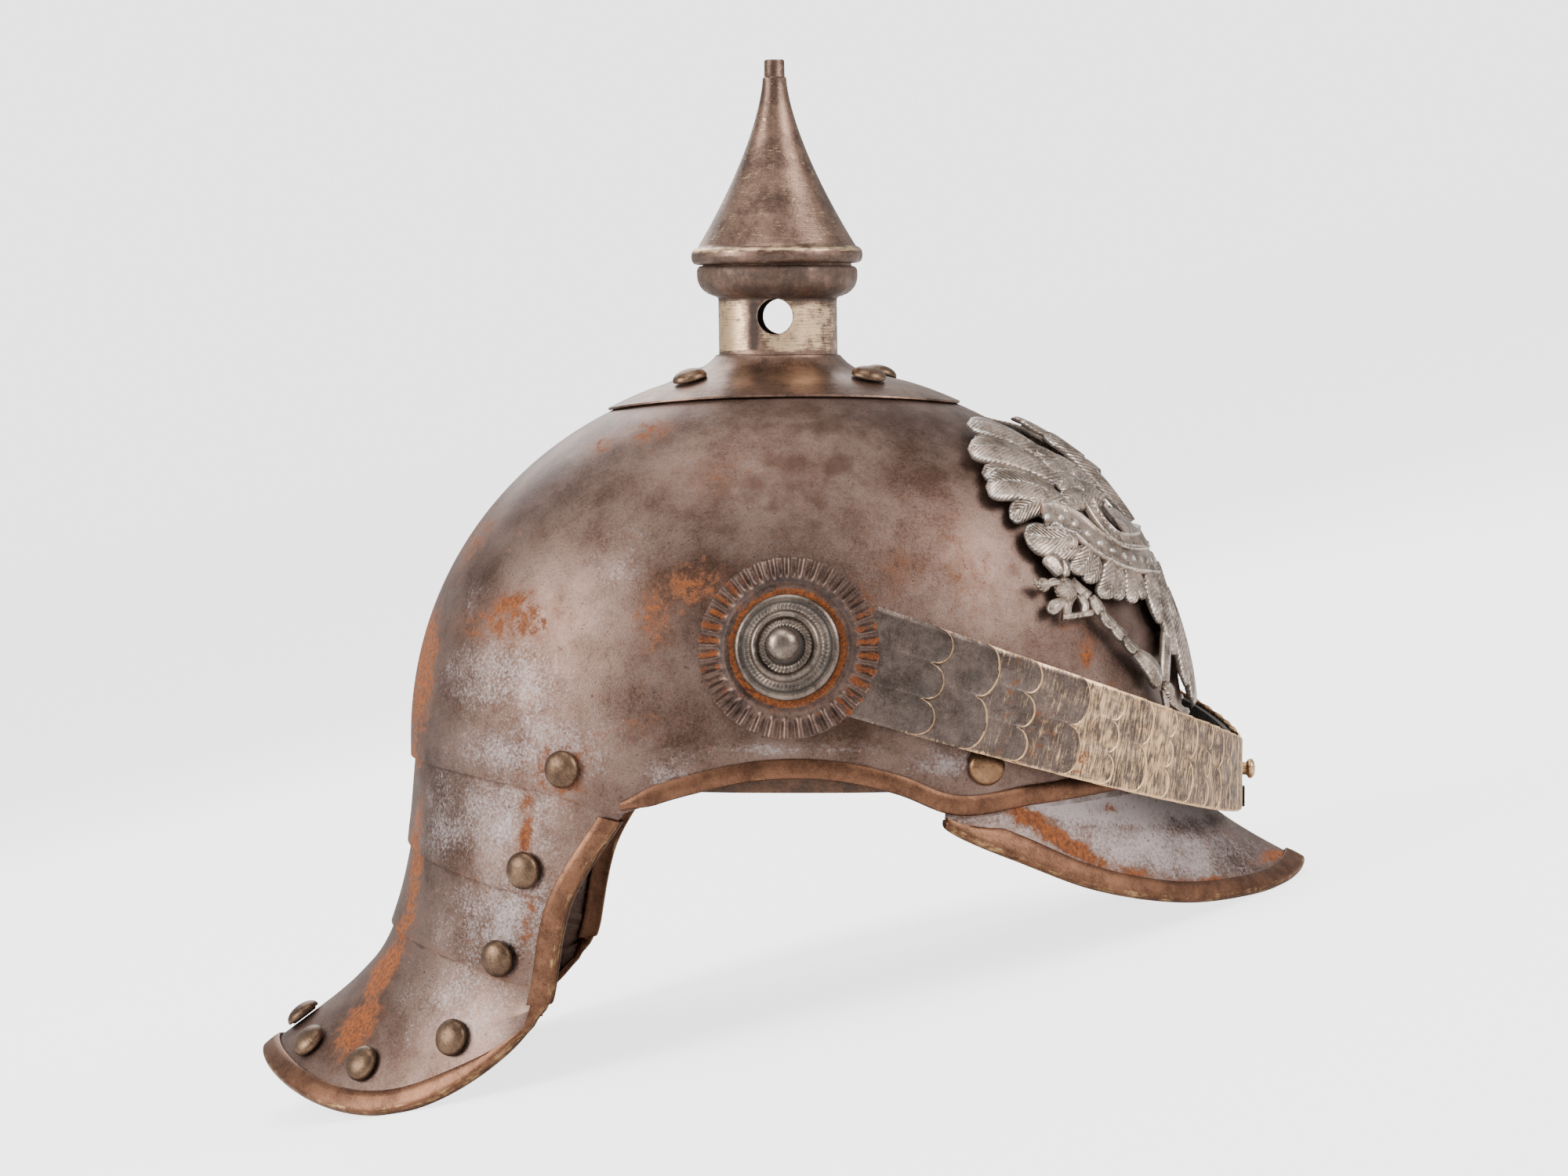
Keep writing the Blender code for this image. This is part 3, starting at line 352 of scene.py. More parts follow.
def patinaGroup():
    # Cloudy tone, fine grain and pits over a metal: three noises of falling size, mixed into one colour.
    wires, given, result = newGroup("patina", ("Vector",), ("Light", "Dark"),
                                    {"Cloud Size": 0.6, "Grain Size": 14.0}, ("Color", "Grain", "Pits"))
    vector, grainSize = given["Vector"], given["Grain Size"]
    cloud = wires.noise(vector, given["Cloud Size"], 5.0, 0.6)
    grain = wires.noise(vector, grainSize, 3.0, 0.6)
    blotch = wires.noise(vector, wires.times(grainSize, 0.35), 4.0, 0.6)
    tone = wires.add(wires.ramp(cloud, 0.26, 0.74), wires.around(grain, 0.5, 1.2))
    tone = wires.add(tone, wires.around(blotch, 0.5, 1.1), clamp=True)
    wires.plug(wires.mix(tone, given["Dark"], given["Light"]), result["Color"])
    wires.plug(grain, result["Grain"])
    wires.plug(wires.ramp(blotch, 0.6, 0.7), result["Pits"])
    return wires.tree


def rustGroup():
    # Rust: a mark broken up by noise into a mask, and a colour that runs from deep brown to orange.
    wires, given, result = newGroup("rust", ("Vector",), (), {"Mark": 0.0, "Scatter": 0.0},
                                    ("Mask", "Stain", "Color", "Height"))
    vector = given["Vector"]
    ragged = wires.noise(vector, 3.2, 7.0, 0.72, 0.5)
    fine = wires.noise(vector, 26.0, 3.0, 0.6)
    spread = wires.add(given["Mark"], wires.around(ragged, 0.5, 2.0))
    spread = wires.add(spread, wires.around(fine, 0.5, 0.9))
    spots = wires.times(wires.ramp(wires.noise(vector, 2.1, 7.0, 0.72), 0.61, 0.72), given["Scatter"])
    wires.plug(wires.math("MAXIMUM", wires.ramp(spread, 0.5, 0.7, 0.0, 0.95), spots), result["Mask"])
    wires.plug(wires.ramp(spread, 0.02, 0.7), result["Stain"])
    crust = wires.add(wires.noise(vector, 7.5, 6.0, 0.75), wires.around(fine, 0.5, 0.35))
    tone = wires.mix(wires.ramp(crust, 0.34, 0.64), (0.085, 0.026, 0.012), (0.43, 0.118, 0.018))
    wires.plug(wires.mix(wires.ramp(ragged, 0.45, 0.7, 0.0, 0.7), tone, (0.20, 0.058, 0.02)),
               result["Color"])
    wires.plug(wires.add(fine, ragged), result["Height"])
    return wires.tree


def frostGroup():
    # Pale corrosion and painted highlight: a mark broken up by fine speckle and by a slow drift.
    wires, given, result = newGroup("frostAndHighlight", ("Vector",), (), {"Mark": 0.0, "Amount": 0.0},
                                    ("Mask", "Speckle"))
    speckle = wires.noise(given["Vector"], 10.0, 6.0, 0.72)
    spread = wires.add(wires.times(given["Mark"], 1.1), wires.around(speckle, 0.52, 2.4))
    spread = wires.add(spread, wires.around(wires.noise(given["Vector"], 0.9, 5.0, 0.6), 0.5, 1.3))
    spread = wires.add(spread, given["Amount"])
    wires.plug(wires.ramp(spread, 0.4, 1.35, 0.0, 0.85), result["Mask"])
    wires.plug(speckle, result["Speckle"])
    return wires.tree


def stainGroup():
    # Dark stain, dirt and painted shade: a mark broken up by clouds, with an edge as soft as asked.
    wires, given, result = newGroup("stain", ("Vector",), (),
                                    {"Mark": 0.0, "Size": 1.6, "Break": 1.0, "Softness": 0.2}, ("Mask",))
    cloud = wires.noise(given["Vector"], given["Size"], 5.0, 0.5)
    spread = wires.around(cloud, 0.5, given["Break"])
    spread = wires.math("SUBTRACT", wires.add(spread, given["Mark"]), 0.35)
    wires.plug(wires.math("DIVIDE", spread, given["Softness"], clamp=True), result["Mask"])
    return wires.tree


def wearGroup():
    # Rubbed metal and painted highlight: a mark broken up by scratches along the flow and by clouds.
    wires, given, result = newGroup("wear", ("Vector", "Flow"), (),
                                    {"Mark": 0.0, "Amount": 0.0, "Clouds": 1.8}, ("Mask", "Scratch"))
    scratch = wires.noise(given["Flow"], 1.0, 5.0, 0.7)
    cloud = wires.noise(given["Vector"], 2.4, 5.0, 0.65, 0.3)
    rub = wires.add(given["Mark"], wires.around(scratch, 0.5, 2.0))
    rub = wires.add(rub, wires.around(cloud, 0.5, given["Clouds"]))
    wires.plug(wires.ramp(wires.add(rub, given["Amount"]), 0.42, 1.0), result["Mask"])
    wires.plug(scratch, result["Scratch"])
    return wires.tree


def grainGroup():
    # Leather: cells with dark creases between them, and a slow change of wear.
    wires, given, result = newGroup("leatherGrain", ("Vector",), (), {}, ("Crease", "Worn", "Height"))
    cells = wires.tree.nodes.new("ShaderNodeTexVoronoi")
    wires.plug(given["Vector"], cells.inputs["Vector"])
    cells.inputs["Scale"].default_value = 11.0
    worn = wires.noise(given["Vector"], 1.8, 6.0, 0.65)
    wires.plug(wires.ramp(cells.outputs["Distance"], 0.0, 0.5, 0.5, 0.0), result["Crease"])
    wires.plug(worn, result["Worn"])
    wires.plug(wires.add(cells.outputs["Distance"], worn), result["Height"])
    return wires.tree


def barbGroup():
    # Barbs of a feather: a sine of the length less the distance from the rib, where the flow allows it.
    wires, given, result = newGroup("barbs", ("Flow",), (), {"Spacing": 1.4}, ("Height", "Groove"))
    along, aside, allowed = wires.parts(given["Flow"])
    slant = wires.math("SUBTRACT", along, wires.times(wires.math("ABSOLUTE", aside), 1.1))
    wave = wires.math("SINE", wires.math("DIVIDE", wires.times(slant, 2 * math.pi), given["Spacing"]))
    height = wires.times(wave, allowed)
    wires.plug(height, result["Height"])
    wires.plug(wires.ramp(height, -1.0, 0.1, 1.0, 0.0), result["Groove"])
    return wires.tree


groups = {
    "patina": patinaGroup(), "rust": rustGroup(), "frostAndHighlight": frostGroup(), "stain": stainGroup(),
    "wear": wearGroup(), "grain": grainGroup(), "barbs": barbGroup(),
}


def newMaterial(name):
    # A material with its node tree and its surface shader.
    material = bpy.data.materials.new(name)
    material.use_nodes = True
    wires = Wires(material.node_tree)
    shader = material.node_tree.nodes["Principled BSDF"]
    return material, wires, shader


def useGroup(wires, name, **values):
    # A node of a group with its inputs plugged in; an underscore stands for a space in a label.
    node = wires.tree.nodes.new("ShaderNodeGroup")
    node.node_tree = groups[name]
    for label, value in values.items():
        wires.plug(value, node.inputs[label.replace("_", " ")])
    return node.outputs


steelLook = {
    "light": (0.275, 0.183, 0.150), "dark": (0.090, 0.049, 0.035), "pale": (0.56, 0.475, 0.465),
    "deep": (0.075, 0.038, 0.025), "rough": 0.40, "bump": 0.3, "stain": (0.20, 0.078, 0.036),
    "pit": (0.07, 0.026, 0.014),
}


def steelMaterial(name, paleness=0.0, scatter=0.5):
    # Worn bare steel. Marks: x is rust, y is pale corrosion and painted highlight, z is dark stain and
    # painted shade.
    material, wires, shader = newMaterial(name)
    place = wires.attribute("place")
    marks = wires.parts(wires.attribute("marks"))
    patina = useGroup(wires, "patina", Vector=place, Light=steelLook["light"], Dark=steelLook["dark"],
                      Cloud_Size=0.42, Grain_Size=24.0)
    rust = useGroup(wires, "rust", Vector=place, Mark=marks[0], Scatter=scatter)
    frostAndHighlight = useGroup(wires, "frostAndHighlight", Vector=place, Mark=marks[1], Amount=paleness)
    stain = useGroup(wires, "stain", Vector=place, Mark=marks[2], Size=1.5, Break=1.3, Softness=0.35)
    # Pale corrosion and a painted highlight from the y mark.
    color = wires.mix(frostAndHighlight["Mask"], patina["Color"], steelLook["pale"])
    # Dark stain and painted shade from the z mark, in the deep colour.
    color = wires.mix(wires.times(stain["Mask"], 0.62), color, steelLook["deep"])
    color = wires.mix(wires.times(rust["Stain"], 0.6), color, steelLook["stain"])
    color = wires.mix(wires.times(patina["Pits"], 0.75), color, steelLook["pit"])
    color = wires.mix(rust["Mask"], color, rust["Color"])
    wires.plug(color, shader.inputs["Base Color"])
    rough = wires.add(wires.times(patina["Grain"], 0.22), steelLook["rough"] - 0.1)
    rough = wires.blend(frostAndHighlight["Mask"], rough, 0.56)
    wires.plug(wires.blend(rust["Mask"], rough, 0.88), shader.inputs["Roughness"])
    metal = wires.blend(frostAndHighlight["Mask"], 0.92, 0.55)
    metal = wires.blend(wires.times(rust["Stain"], 0.5), metal, 0.3)
    wires.plug(wires.blend(rust["Mask"], metal, 0.0), shader.inputs["Metallic"])
    height = wires.add(wires.times(patina["Grain"], 0.5), wires.times(frostAndHighlight["Speckle"], 0.5))
    height = wires.add(height, wires.times(wires.times(rust["Mask"], rust["Height"]), 0.7))
    wires.plug(wires.bump(height, steelLook["bump"]), shader.inputs["Normal"])
    return material


def brassMaterial(name, light, dark, bright, wear=0.0, streak=(1, 1, 1), rough=0.36, rustiness=0.0,
                  barbs=0.0, clouds=1.8):
    # Brass, bronze or pewter under patina. Marks: x is rust, y is rubbed bright metal and painted highlight,
    # z is dirt and painted shade.
    material, wires, shader = newMaterial(name)
    place = wires.attribute("place")
    flow = wires.attribute("flow")
    marks = wires.parts(wires.attribute("marks"))
    patina = useGroup(wires, "patina", Vector=place, Light=light, Dark=dark, Cloud_Size=1.0,
                      Grain_Size=16.0)
    worn = useGroup(wires, "wear", Vector=place, Flow=wires.stretch(flow, streak), Mark=marks[1],
                    Amount=wear, Clouds=clouds)
    dirtAndShadeMark = marks[2]
    height = wires.add(wires.times(worn["Scratch"], 0.6), wires.times(patina["Grain"], 0.4))
    if barbs:
        feather = useGroup(wires, "barbs", Flow=flow, Spacing=1.7)
        # Painted shade in the grooves between the barbs.
        dirtAndShadeMark = wires.add(dirtAndShadeMark, wires.times(feather["Groove"], 0.42))
        height = wires.add(height, wires.times(feather["Height"], barbs))
    dirtAndShade = useGroup(wires, "stain", Vector=place, Mark=dirtAndShadeMark, Size=2.4, Break=0.9, Softness=0.5)
    rust = useGroup(wires, "rust", Vector=place, Mark=marks[0], Scatter=rustiness)
    # Rubbed metal and painted highlight from the y mark, then dirt and painted shade from the z mark.
    color = wires.mix(worn["Mask"], patina["Color"], bright)
    color = wires.mix(wires.times(dirtAndShade["Mask"], 0.85), color, tuple(0.35 * value for value in dark))
    color = wires.mix(wires.times(rust["Mask"], 0.95), color, rust["Color"])
    wires.plug(color, shader.inputs["Base Color"])
    surface = wires.add(wires.times(worn["Scratch"], 0.25), rough - 0.1)
    surface = wires.blend(dirtAndShade["Mask"], surface, 0.7)
    wires.plug(wires.blend(rust["Mask"], surface, 0.85), shader.inputs["Roughness"])
    metal = wires.blend(wires.math("MAXIMUM", dirtAndShade["Mask"], rust["Mask"]), 0.95, 0.25)
    wires.plug(metal, shader.inputs["Metallic"])
    wires.plug(wires.bump(height, 0.3), shader.inputs["Normal"])
    return material


def leatherMaterial(name, color, rough):
    # Old leather, darker in its creases and paler where it is worn.
    material, wires, shader = newMaterial(name)
    grain = useGroup(wires, "grain", Vector=wires.attribute("place"))
    dark = tuple(0.4 * value for value in color)
    tone = wires.mix(wires.ramp(grain["Worn"], 0.35, 0.65), dark, color)
    wires.plug(wires.mix(grain["Crease"], tone, dark), shader.inputs["Base Color"])
    wires.plug(wires.ramp(grain["Worn"], 0.2, 0.8, rough, rough + 0.2), shader.inputs["Roughness"])
    wires.plug(wires.bump(grain["Height"], 0.4), shader.inputs["Normal"])
    return material


finishes = {
    "skull": steelMaterial("skullSteel", -0.1, 0.4),
    "lame": steelMaterial("guardSteel", 0.0, 0.3),
    "peak": steelMaterial("peakSteel", 0.6, 0.3),
    "trim": brassMaterial("trimBronze", (0.25, 0.12, 0.068), (0.11, 0.052, 0.032), (0.58, 0.36, 0.17), -0.3,
                          (0.1, 1, 1), 0.38),
    "spike": brassMaterial("spikeBronze", (0.33, 0.205, 0.15), (0.125, 0.078, 0.06), (0.86, 0.60, 0.36),
                           -0.1, (0.15, 2.5, 1), 0.34),
    "rivet": brassMaterial("rivetBronze", (0.25, 0.155, 0.095), (0.10, 0.06, 0.04), (0.60, 0.39, 0.21),
                           -0.3, (1, 1, 1), 0.34),
    "brow": brassMaterial("browBronze", (0.42, 0.24, 0.125), (0.19, 0.10, 0.055), (0.75, 0.48, 0.25), -0.1,
                          (1, 1, 1), 0.3),
    "rosette": brassMaterial("rosetteIron", (0.19, 0.12, 0.095), (0.065, 0.043, 0.037), (0.42, 0.30, 0.21),
                             -0.5, (1, 1, 1), 0.4, 0.2),
    "boss": brassMaterial("bossPewter", (0.30, 0.235, 0.19), (0.085, 0.066, 0.056), (0.85, 0.69, 0.53),
                          -0.15, (1, 1, 1), 0.32),
    "scale": brassMaterial("scaleBrass", (0.22, 0.165, 0.14), (0.085, 0.062, 0.052), (0.93, 0.60, 0.33),
                           0.02, (1.4, 0.16, 1), 0.34, clouds=1.1),
    "eagle": brassMaterial("eaglePewter", (0.73, 0.565, 0.465), (0.17, 0.13, 0.10), (1.0, 0.93, 0.86), 0.0,
                           (1, 1, 1), 0.3, 0.0, 1.3),
    "leather": leatherMaterial("bandLeather", (0.16, 0.075, 0.04), 0.5),
    "blackLeather": leatherMaterial("strapLeather", (0.03, 0.024, 0.02), 0.4),
    "blackSteel": brassMaterial("blackSteel", (0.05, 0.045, 0.04), (0.015, 0.013, 0.012), (0.4, 0.36, 0.3),
                                -0.5, (1, 1, 1), 0.3),
}
print("materials made")


# Skull

skullSizes = {
    "browLevel": 121.7, "crownHeight": 117.2, "front": 129.2, "back": 117.5, "halfWidth": 98.0, "wall": 1.2,
    "planFullness": 2.15, "crownFullness": 2.04, "sideSquareness": 0.3, "crownShift": 3.0,
    "crownHole": 0.12, "earDrop": 15.4, "cornerAngle": math.radians(109.75),
    "peakAngle": math.radians(66.5), "gap": 0.3, "moulding": 0.55, "rows": 64,
}
# The skull's lower edge: shares of the way from the front to the corner, and of the ear's drop
edgePlaces = (0.0, 0.30, 0.48, 0.606, 0.665, 0.784, 0.915, 1.0)
edgeDrops = (0.615, 0.63, 0.81, 0.92, 0.55, 0.21, 0.58, 1.0)
browLevel = skullSizes["browLevel"]
gap = skullSizes["gap"]


def skullPlan(angle):
    # A rounded rectangle: the reach times a power of the cosine, the half width times a power of the sine.
    power = 2 / skullSizes["planFullness"]
    reach = np.where(np.cos(angle) >= 0, skullSizes["front"], skullSizes["back"])
    half = skullSizes["halfWidth"]
    return reach * signedPower(np.cos(angle), power), half * signedPower(np.sin(angle), power)


def skullPoint(angle, share):
    # Over a share of the plan, the height is the crown's times the root that closes a rounded square.
    angle, share = np.broadcast_arrays(np.asarray(angle, float), np.asarray(share, float))
    x, y = skullPlan(angle)
    fullness = skullSizes["crownFullness"] + skullSizes["sideSquareness"] * np.sin(angle) ** 2
    rise = skullSizes["crownHeight"] * (1 - share ** fullness) ** (1 / fullness)
    return np.stack([share * x + skullSizes["crownShift"] * (1 - share), share * y, browLevel + rise],
                    axis=-1)


def skullShare(angle, rise):
    # The share of the plan at a height: the rounded square solved for it.
    fullness = skullSizes["crownFullness"] + skullSizes["sideSquareness"] * np.sin(angle) ** 2
    return (1 - np.clip(rise / skullSizes["crownHeight"], 0, 1) ** fullness) ** (1 / fullness)


def skullAt(angle, rise):
    # The surface's point at a height above the brow level.
    return skullPoint(angle, skullShare(angle, rise))


def skullFrame(angle, rise):
    # A point at a height above the brow level, and the direction out of the surface from two short steps.
    step = 0.002
    point = skullAt(angle, rise)
    across = skullAt(angle + step, rise) - skullAt(angle - step, rise)
    up = skullAt(angle, rise + 2) - skullAt(angle, max(rise - 2, 0))
    normal = unit(np.cross(across, up))
    return point, normal * np.sign(np.dot(normal[:2], point[:2]))


def seamHeight(along):
    # The first section of the neck guard, from its corners to the middle of the back.
    backDrop, cornerDrop, sag = guardSizes["sections"][0][3:6]
    drop = cornerDrop + (backDrop - cornerDrop) * along + sag * np.sin(math.pi * along) ** 0.8
    return browLevel - guardSizes["drop"] * drop


def edgeHeight(angle):
    # The arches of brow and ear by a smooth curve, and behind the corner the first seam of the neck guard.
    share = np.abs(angle) / skullSizes["cornerAngle"]
    arch = browLevel - skullSizes["earDrop"] * curveThrough(edgePlaces, edgeDrops, share)
    cornerX = skullPlan(skullSizes["cornerAngle"])[0]
    along = np.clip((cornerX - skullPlan(np.abs(angle))[0]) / (cornerX + skullSizes["back"]), 0, 1)
    join = browLevel - skullSizes["earDrop"]
    return np.where(share < 1, arch, join + (seamHeight(along) - join) * np.clip((share - 1) / 0.08, 0, 1))


guardSizes = {
    "wall": 1.0, "overlap": 0.14, "reach": 165.7, "drop": 112.0, "cornerReach": 69.7,
    "cornerHalfWidth": 77.0, "sections": (
        # back reach, corner reach, narrowing, back drop, corner drop, sag, centre, fullness
        (0.0, 0.0, 0.0, 0.044, 0.137, -0.02, 0.0, 2.15),
        (0.025, 0.655, 0.45, 0.286, 0.385, 0.011, 0.25, 2.1),
        (0.141, 0.88, 0.79, 0.524, 0.645, -0.005, 0.45, 2.0),
        (0.37, 0.94, 0.90, 0.690, 0.672, 0.085, 0.75, 1.85),
        (1.0, 1.0, 1.0, 0.905, 0.7, 0.187, 1.0, 1.7)),
}

rustPatches = (
    # x, z, half length, half width, angle, strength, as seen from the side
    (-114, 142, 30, 4.5, 82, 0.75), (-88, 158, 20, 7, 5, 0.6), (-97, 184, 20, 4, 58, 0.5),
    (-41, 219, 9, 4, 15, 0.62), (-56, 215, 5, 3, 15, 0.6), (-70, 110.5, 11, 11, 0, 0.62),
    (-60, 119, 9, 2, 45, 0.55), (-69, 103, 5, 2, -60, 0.6), (-82, 89, 7, 3, 80, 0.85),
    (-82, 100, 5, 3, 80, 0.5), (-81, 62, 14, 3, 85, 0.5), (-118, 78, 26, 2.5, 86, 0.75),
    (-121, 60, 8, 2.5, 60, 0.85), (-128, 45, 14, 4, 62, 0.95), (-136, 27, 13, 5.5, 55, 0.95),
    (-28, 170, 12, 7, 0, 0.6), (-40, 160, 7, 12, 0, 0.6), (28, 166, 9, 5, -20, 0.5),
    (-86, 164, 9, 4, 20, 0.75), (38, 174, 7, 9, 20, 0.35), (98.5, 148.5, 3, 6, -15, 0.8),
    (93, 157, 5, 2, 0, 0.5), (106, 138, 3, 2, 0, 0.5), (60, 175, 8, 20, 10, 0.3),
    (-45, 125, 12, 4, 10, 0.35), (-118, 116, 4, 9, 0, 0.6), (-20, 205, 14, 6, 0, 0.3),
    (72, 205, 10, 8, 0, 0.32),
)
# Pale corrosion; the long thin oval along the ear's raised ridge is a painted highlight.
paleAndHighlightPatches = (
    (-88, 141, 26, 17, 0, 0.8), (-78, 117, 40, 13, 0, 0.85), (-52, 178, 16, 16, 0, 0.55),
    (53, 113, 16, 6, 0, 0.95), (2, 117, 44, 3.5, 0, 0.75), (50, 178, 14, 14, 0, 0.3),
    (-100, 165, 14, 10, 40, 0.5), (88, 170, 20, 20, 0, 0.35), (-30, 105, 20, 8, -25, 0.8),
    (-95, 95, 35, 20, 0, 0.7), (-88, 62, 30, 20, 0, 0.7), (-105, 35, 25, 20, 0, 0.6),
    (-60, 200, 14, 10, 40, 0.35), (112, 175, 12, 18, 0, 0.3),
)
# Dark stains, and wide soft ovals over the top and middle of the skull that are painted shade.
stainAndShadePatches = (
    (2, 209, 10, 4, -8, 0.85), (19, 209, 7, 4, 20, 0.85), (20, 222, 60, 8, 0, 0.5),
    (70, 178, 10, 30, 20, 0.35), (-34, 167, 14, 20, 0, 0.5), (-5, 198, 44, 15, 0, 0.45),
    (31, 126, 32, 6, 0, 0.6), (-12, 130, 14, 7, 20, 0.5), (50, 205, 30, 12, -20, 0.35),
    (-40, 150, 16, 12, 0, 0.35),
)


def steelMarks(points):
    # Rust, pale corrosion with a painted highlight, and dark stain with painted shade for each point, from
    # the three lists of patches.
    return np.stack([patches(points, rustPatches), patches(points, paleAndHighlightPatches),
                     patches(points, stainAndShadePatches)], axis=-1)


def halfAngles(front, ear, back):
    # Angles of one side from the front, with a number of steps each for peak, ear and neck.
    return (np.linspace(0, skullSizes["peakAngle"], front),
            np.linspace(skullSizes["peakAngle"], skullSizes["cornerAngle"], ear)[1:],
            np.linspace(skullSizes["cornerAngle"], math.pi, back)[1:])


def ringAngles():
    # The angles of both sides, once round.
    half = np.concatenate(halfAngles(44, 36, 50))
    return np.concatenate([half, -half[-2:0:-1]])


def makeSkull():
    # Rows from the crown hole down to the brow level, then straight rows down to the shaped lower edge.
    angles = ringAngles()
    shares = np.sin(np.linspace(math.asin(skullSizes["crownHole"]), math.pi / 2, skullSizes["rows"]))[::-1]
    dome = skullPoint(angles[None, :], shares[:, None])
    edge = dome[0].copy()
    edge[:, 2] = edgeHeight(angles)
    skirt = edge + (dome[0] - edge) * np.linspace(0, 1, 12)[:-1, None, None]
    points = np.concatenate([skirt, dome])
    normals = gridNormals(points, True, (0, 0, browLevel))
    normals[:11] = unit(normals[11] * (1, 1, 0))
    height = points[..., 2] - edge[:, 2]
    behind = smooth(np.abs(angles), math.radians(98), math.radians(110))
    ear = smooth(np.abs(angles), math.radians(60), math.radians(72)) * (1 - behind)
    ridge = skullSizes["moulding"] * ear * bell(height, 9.5, 2.2)
    block = sheetBlock(points, normals, ridge, ridge * 0.5 - skullSizes["wall"], True, steelMarks(points))
    makePiece("skullShell", [block], finishes["skull"], ["skull"])


bandSizes = {"low": 113.2, "high": 146.0, "wall": 1.6, "depth": 3.1}


def makeSweatband():
    # The skull's own outline moved inwards.
    angles = ringAngles()
    rises = np.linspace(bandSizes["low"], bandSizes["high"], 14) - browLevel
    points = skullAt(angles[None, :], rises[:, None])
    points[..., 2] = browLevel + rises[:, None]
    normals = unit(gridNormals(points, True, (0, 0, browLevel)) * (1, 1, 0))
    outer = -bandSizes["depth"]
    block = sheetBlock(points, normals, outer, outer - bandSizes["wall"], True)
    makePiece("sweatband", [block], finishes["leather"], ["sweatband"])


rimSizes = {"height": 6.0, "wall": 0.9}


def makeRimBand():
    # A crowned strip along the brow and ears, which folds under the skull's edge where the edge is free.
    half = np.concatenate(halfAngles(60, 60, 2)[:2])
    angles = np.concatenate([-half[:0:-1], half])
    end = smooth(np.abs(angles), half[-1] - 0.09, half[-1])
    low = edgeHeight(angles) - 2 * gap + 6 * gap * end
    tall = rimSizes["height"] * (1 - 0.55 * end)
    peakAngle = skullSizes["peakAngle"]
    free = smooth(np.abs(angles), peakAngle + 0.01, peakAngle + 0.06) * (1 - end)
    wall = rimSizes["wall"]
    inward = -(skullSizes["wall"] + 2 * gap)
    # height share, outward offset where the edge is under the peak, and where it is free
    profile = [(share, gap + rise * wall, gap + rise * wall) for share, rise in (
        (1.0, 0), (1.0, 0.5), (0.93, 0.8), (0.7, 1.15), (0.45, 1.3), (0.2, 1.15))]
    profile += [(0.05, gap + 0.8 * wall, gap + 0.9 * wall), (0.0, gap + 0.5 * wall, gap),
                (-0.03, gap, inward * 0.5), (0.0, gap, inward), (0.08, gap, inward - 0.3),
                (0.35, gap, inward - 0.3), (0.35, gap, inward + 0.2), (0.1, gap, inward + 0.2),
                (0.1, gap, -skullSizes["wall"] * 0.5), (0.1, gap, 0.1), (0.25, gap, gap)]
    rows = []
    for share, under, loose in profile:
        rise = low + tall * share - browLevel
        row = skullAt(angles, rise)
        row[:, 2] = low + tall * share
        rows.append((row, under + (loose - under) * free))
    points = np.stack([row for row, _ in rows])
    outward = unit(gridNormals(points[:5], False, (0, 0, browLevel)) * (1, 1, 0))[2]
    points = points + outward[None] * np.stack([offset for _, offset in rows])[..., None]
    count = len(points)
    bright = np.zeros((count, len(angles), 3))
    bright[5:10, :, 1] = 0.55
    bright[0:2, :, 2] = 0.3
    flow = np.zeros((count, len(angles), 3))
    flow[..., 0] = np.degrees(angles) * 1.8
    flow[..., 1] = np.arange(count)[:, None]
    makePiece("rimBand", [cappedBlock(points, bright, flow)], finishes["trim"], ["rim_band"])


makeSkull()
makeSweatband()
makeRimBand()
print("skull, sweatband and rim band made")


# Neck guard

def guardPoint(across, level):
    # Sections from the first seam to the rim: each is a rounded arc, its sizes smooth curves of the level.
    across, level = np.broadcast_arrays(np.asarray(across, float), np.asarray(level, float))
    table = guardSizes["sections"]
    columns = [curveThrough(np.arange(len(table)), column, level) for column in zip(*table)]
    backShare, cornerShare, narrowing, backDrop, cornerDrop, sag, centreShare, fullness = columns
    cornerX, cornerY = (abs(value) for value in skullPlan(skullSizes["cornerAngle"]))
    back = skullSizes["back"] + (guardSizes["reach"] - skullSizes["back"]) * backShare
    corner = cornerX + (guardSizes["cornerReach"] - cornerX) * cornerShare
    halfWidth = cornerY + (guardSizes["cornerHalfWidth"] - cornerY) * narrowing
    centre = corner * centreShare
    start = np.arcsin(np.clip((corner - centre) / (back - centre), 0, 1) ** (fullness / 2))
    turn = start + (math.pi / 2 - start) * (1 - np.abs(across))
    x = -(centre + (back - centre) * np.sin(turn) ** (2 / fullness))
    scale = halfWidth / np.cos(start) ** (2 / fullness)
    y = np.sign(across) * scale * np.maximum(np.cos(turn), 0) ** (2 / fullness)
    along = np.clip((-x - corner) / (back - corner), 0, 1)
    drop = cornerDrop + (backDrop - cornerDrop) * along + sag * np.sin(math.pi * along) ** 0.8
    above = np.minimum(level, 0) * -0.2 * guardSizes["drop"]
    return np.stack([x, y, browLevel - guardSizes["drop"] * drop + above], axis=-1)


def guardNormal(across, level):
    # The front corners are pinched, so their direction is taken a little inside them.
    across, level = np.broadcast_arrays(np.clip(across, -0.95, 0.95),
                                        np.maximum(np.asarray(level, float), 0))
    step = 0.004
    left, right = np.clip(across + step, -1, 1), np.clip(across - step, -1, 1)
    low, high = np.clip(level + step, 0, 4), np.clip(level - step, 0, 4)
    sideways = guardPoint(left, level) - guardPoint(right, level)
    return unit(np.cross(sideways, guardPoint(across, low) - guardPoint(across, high)))


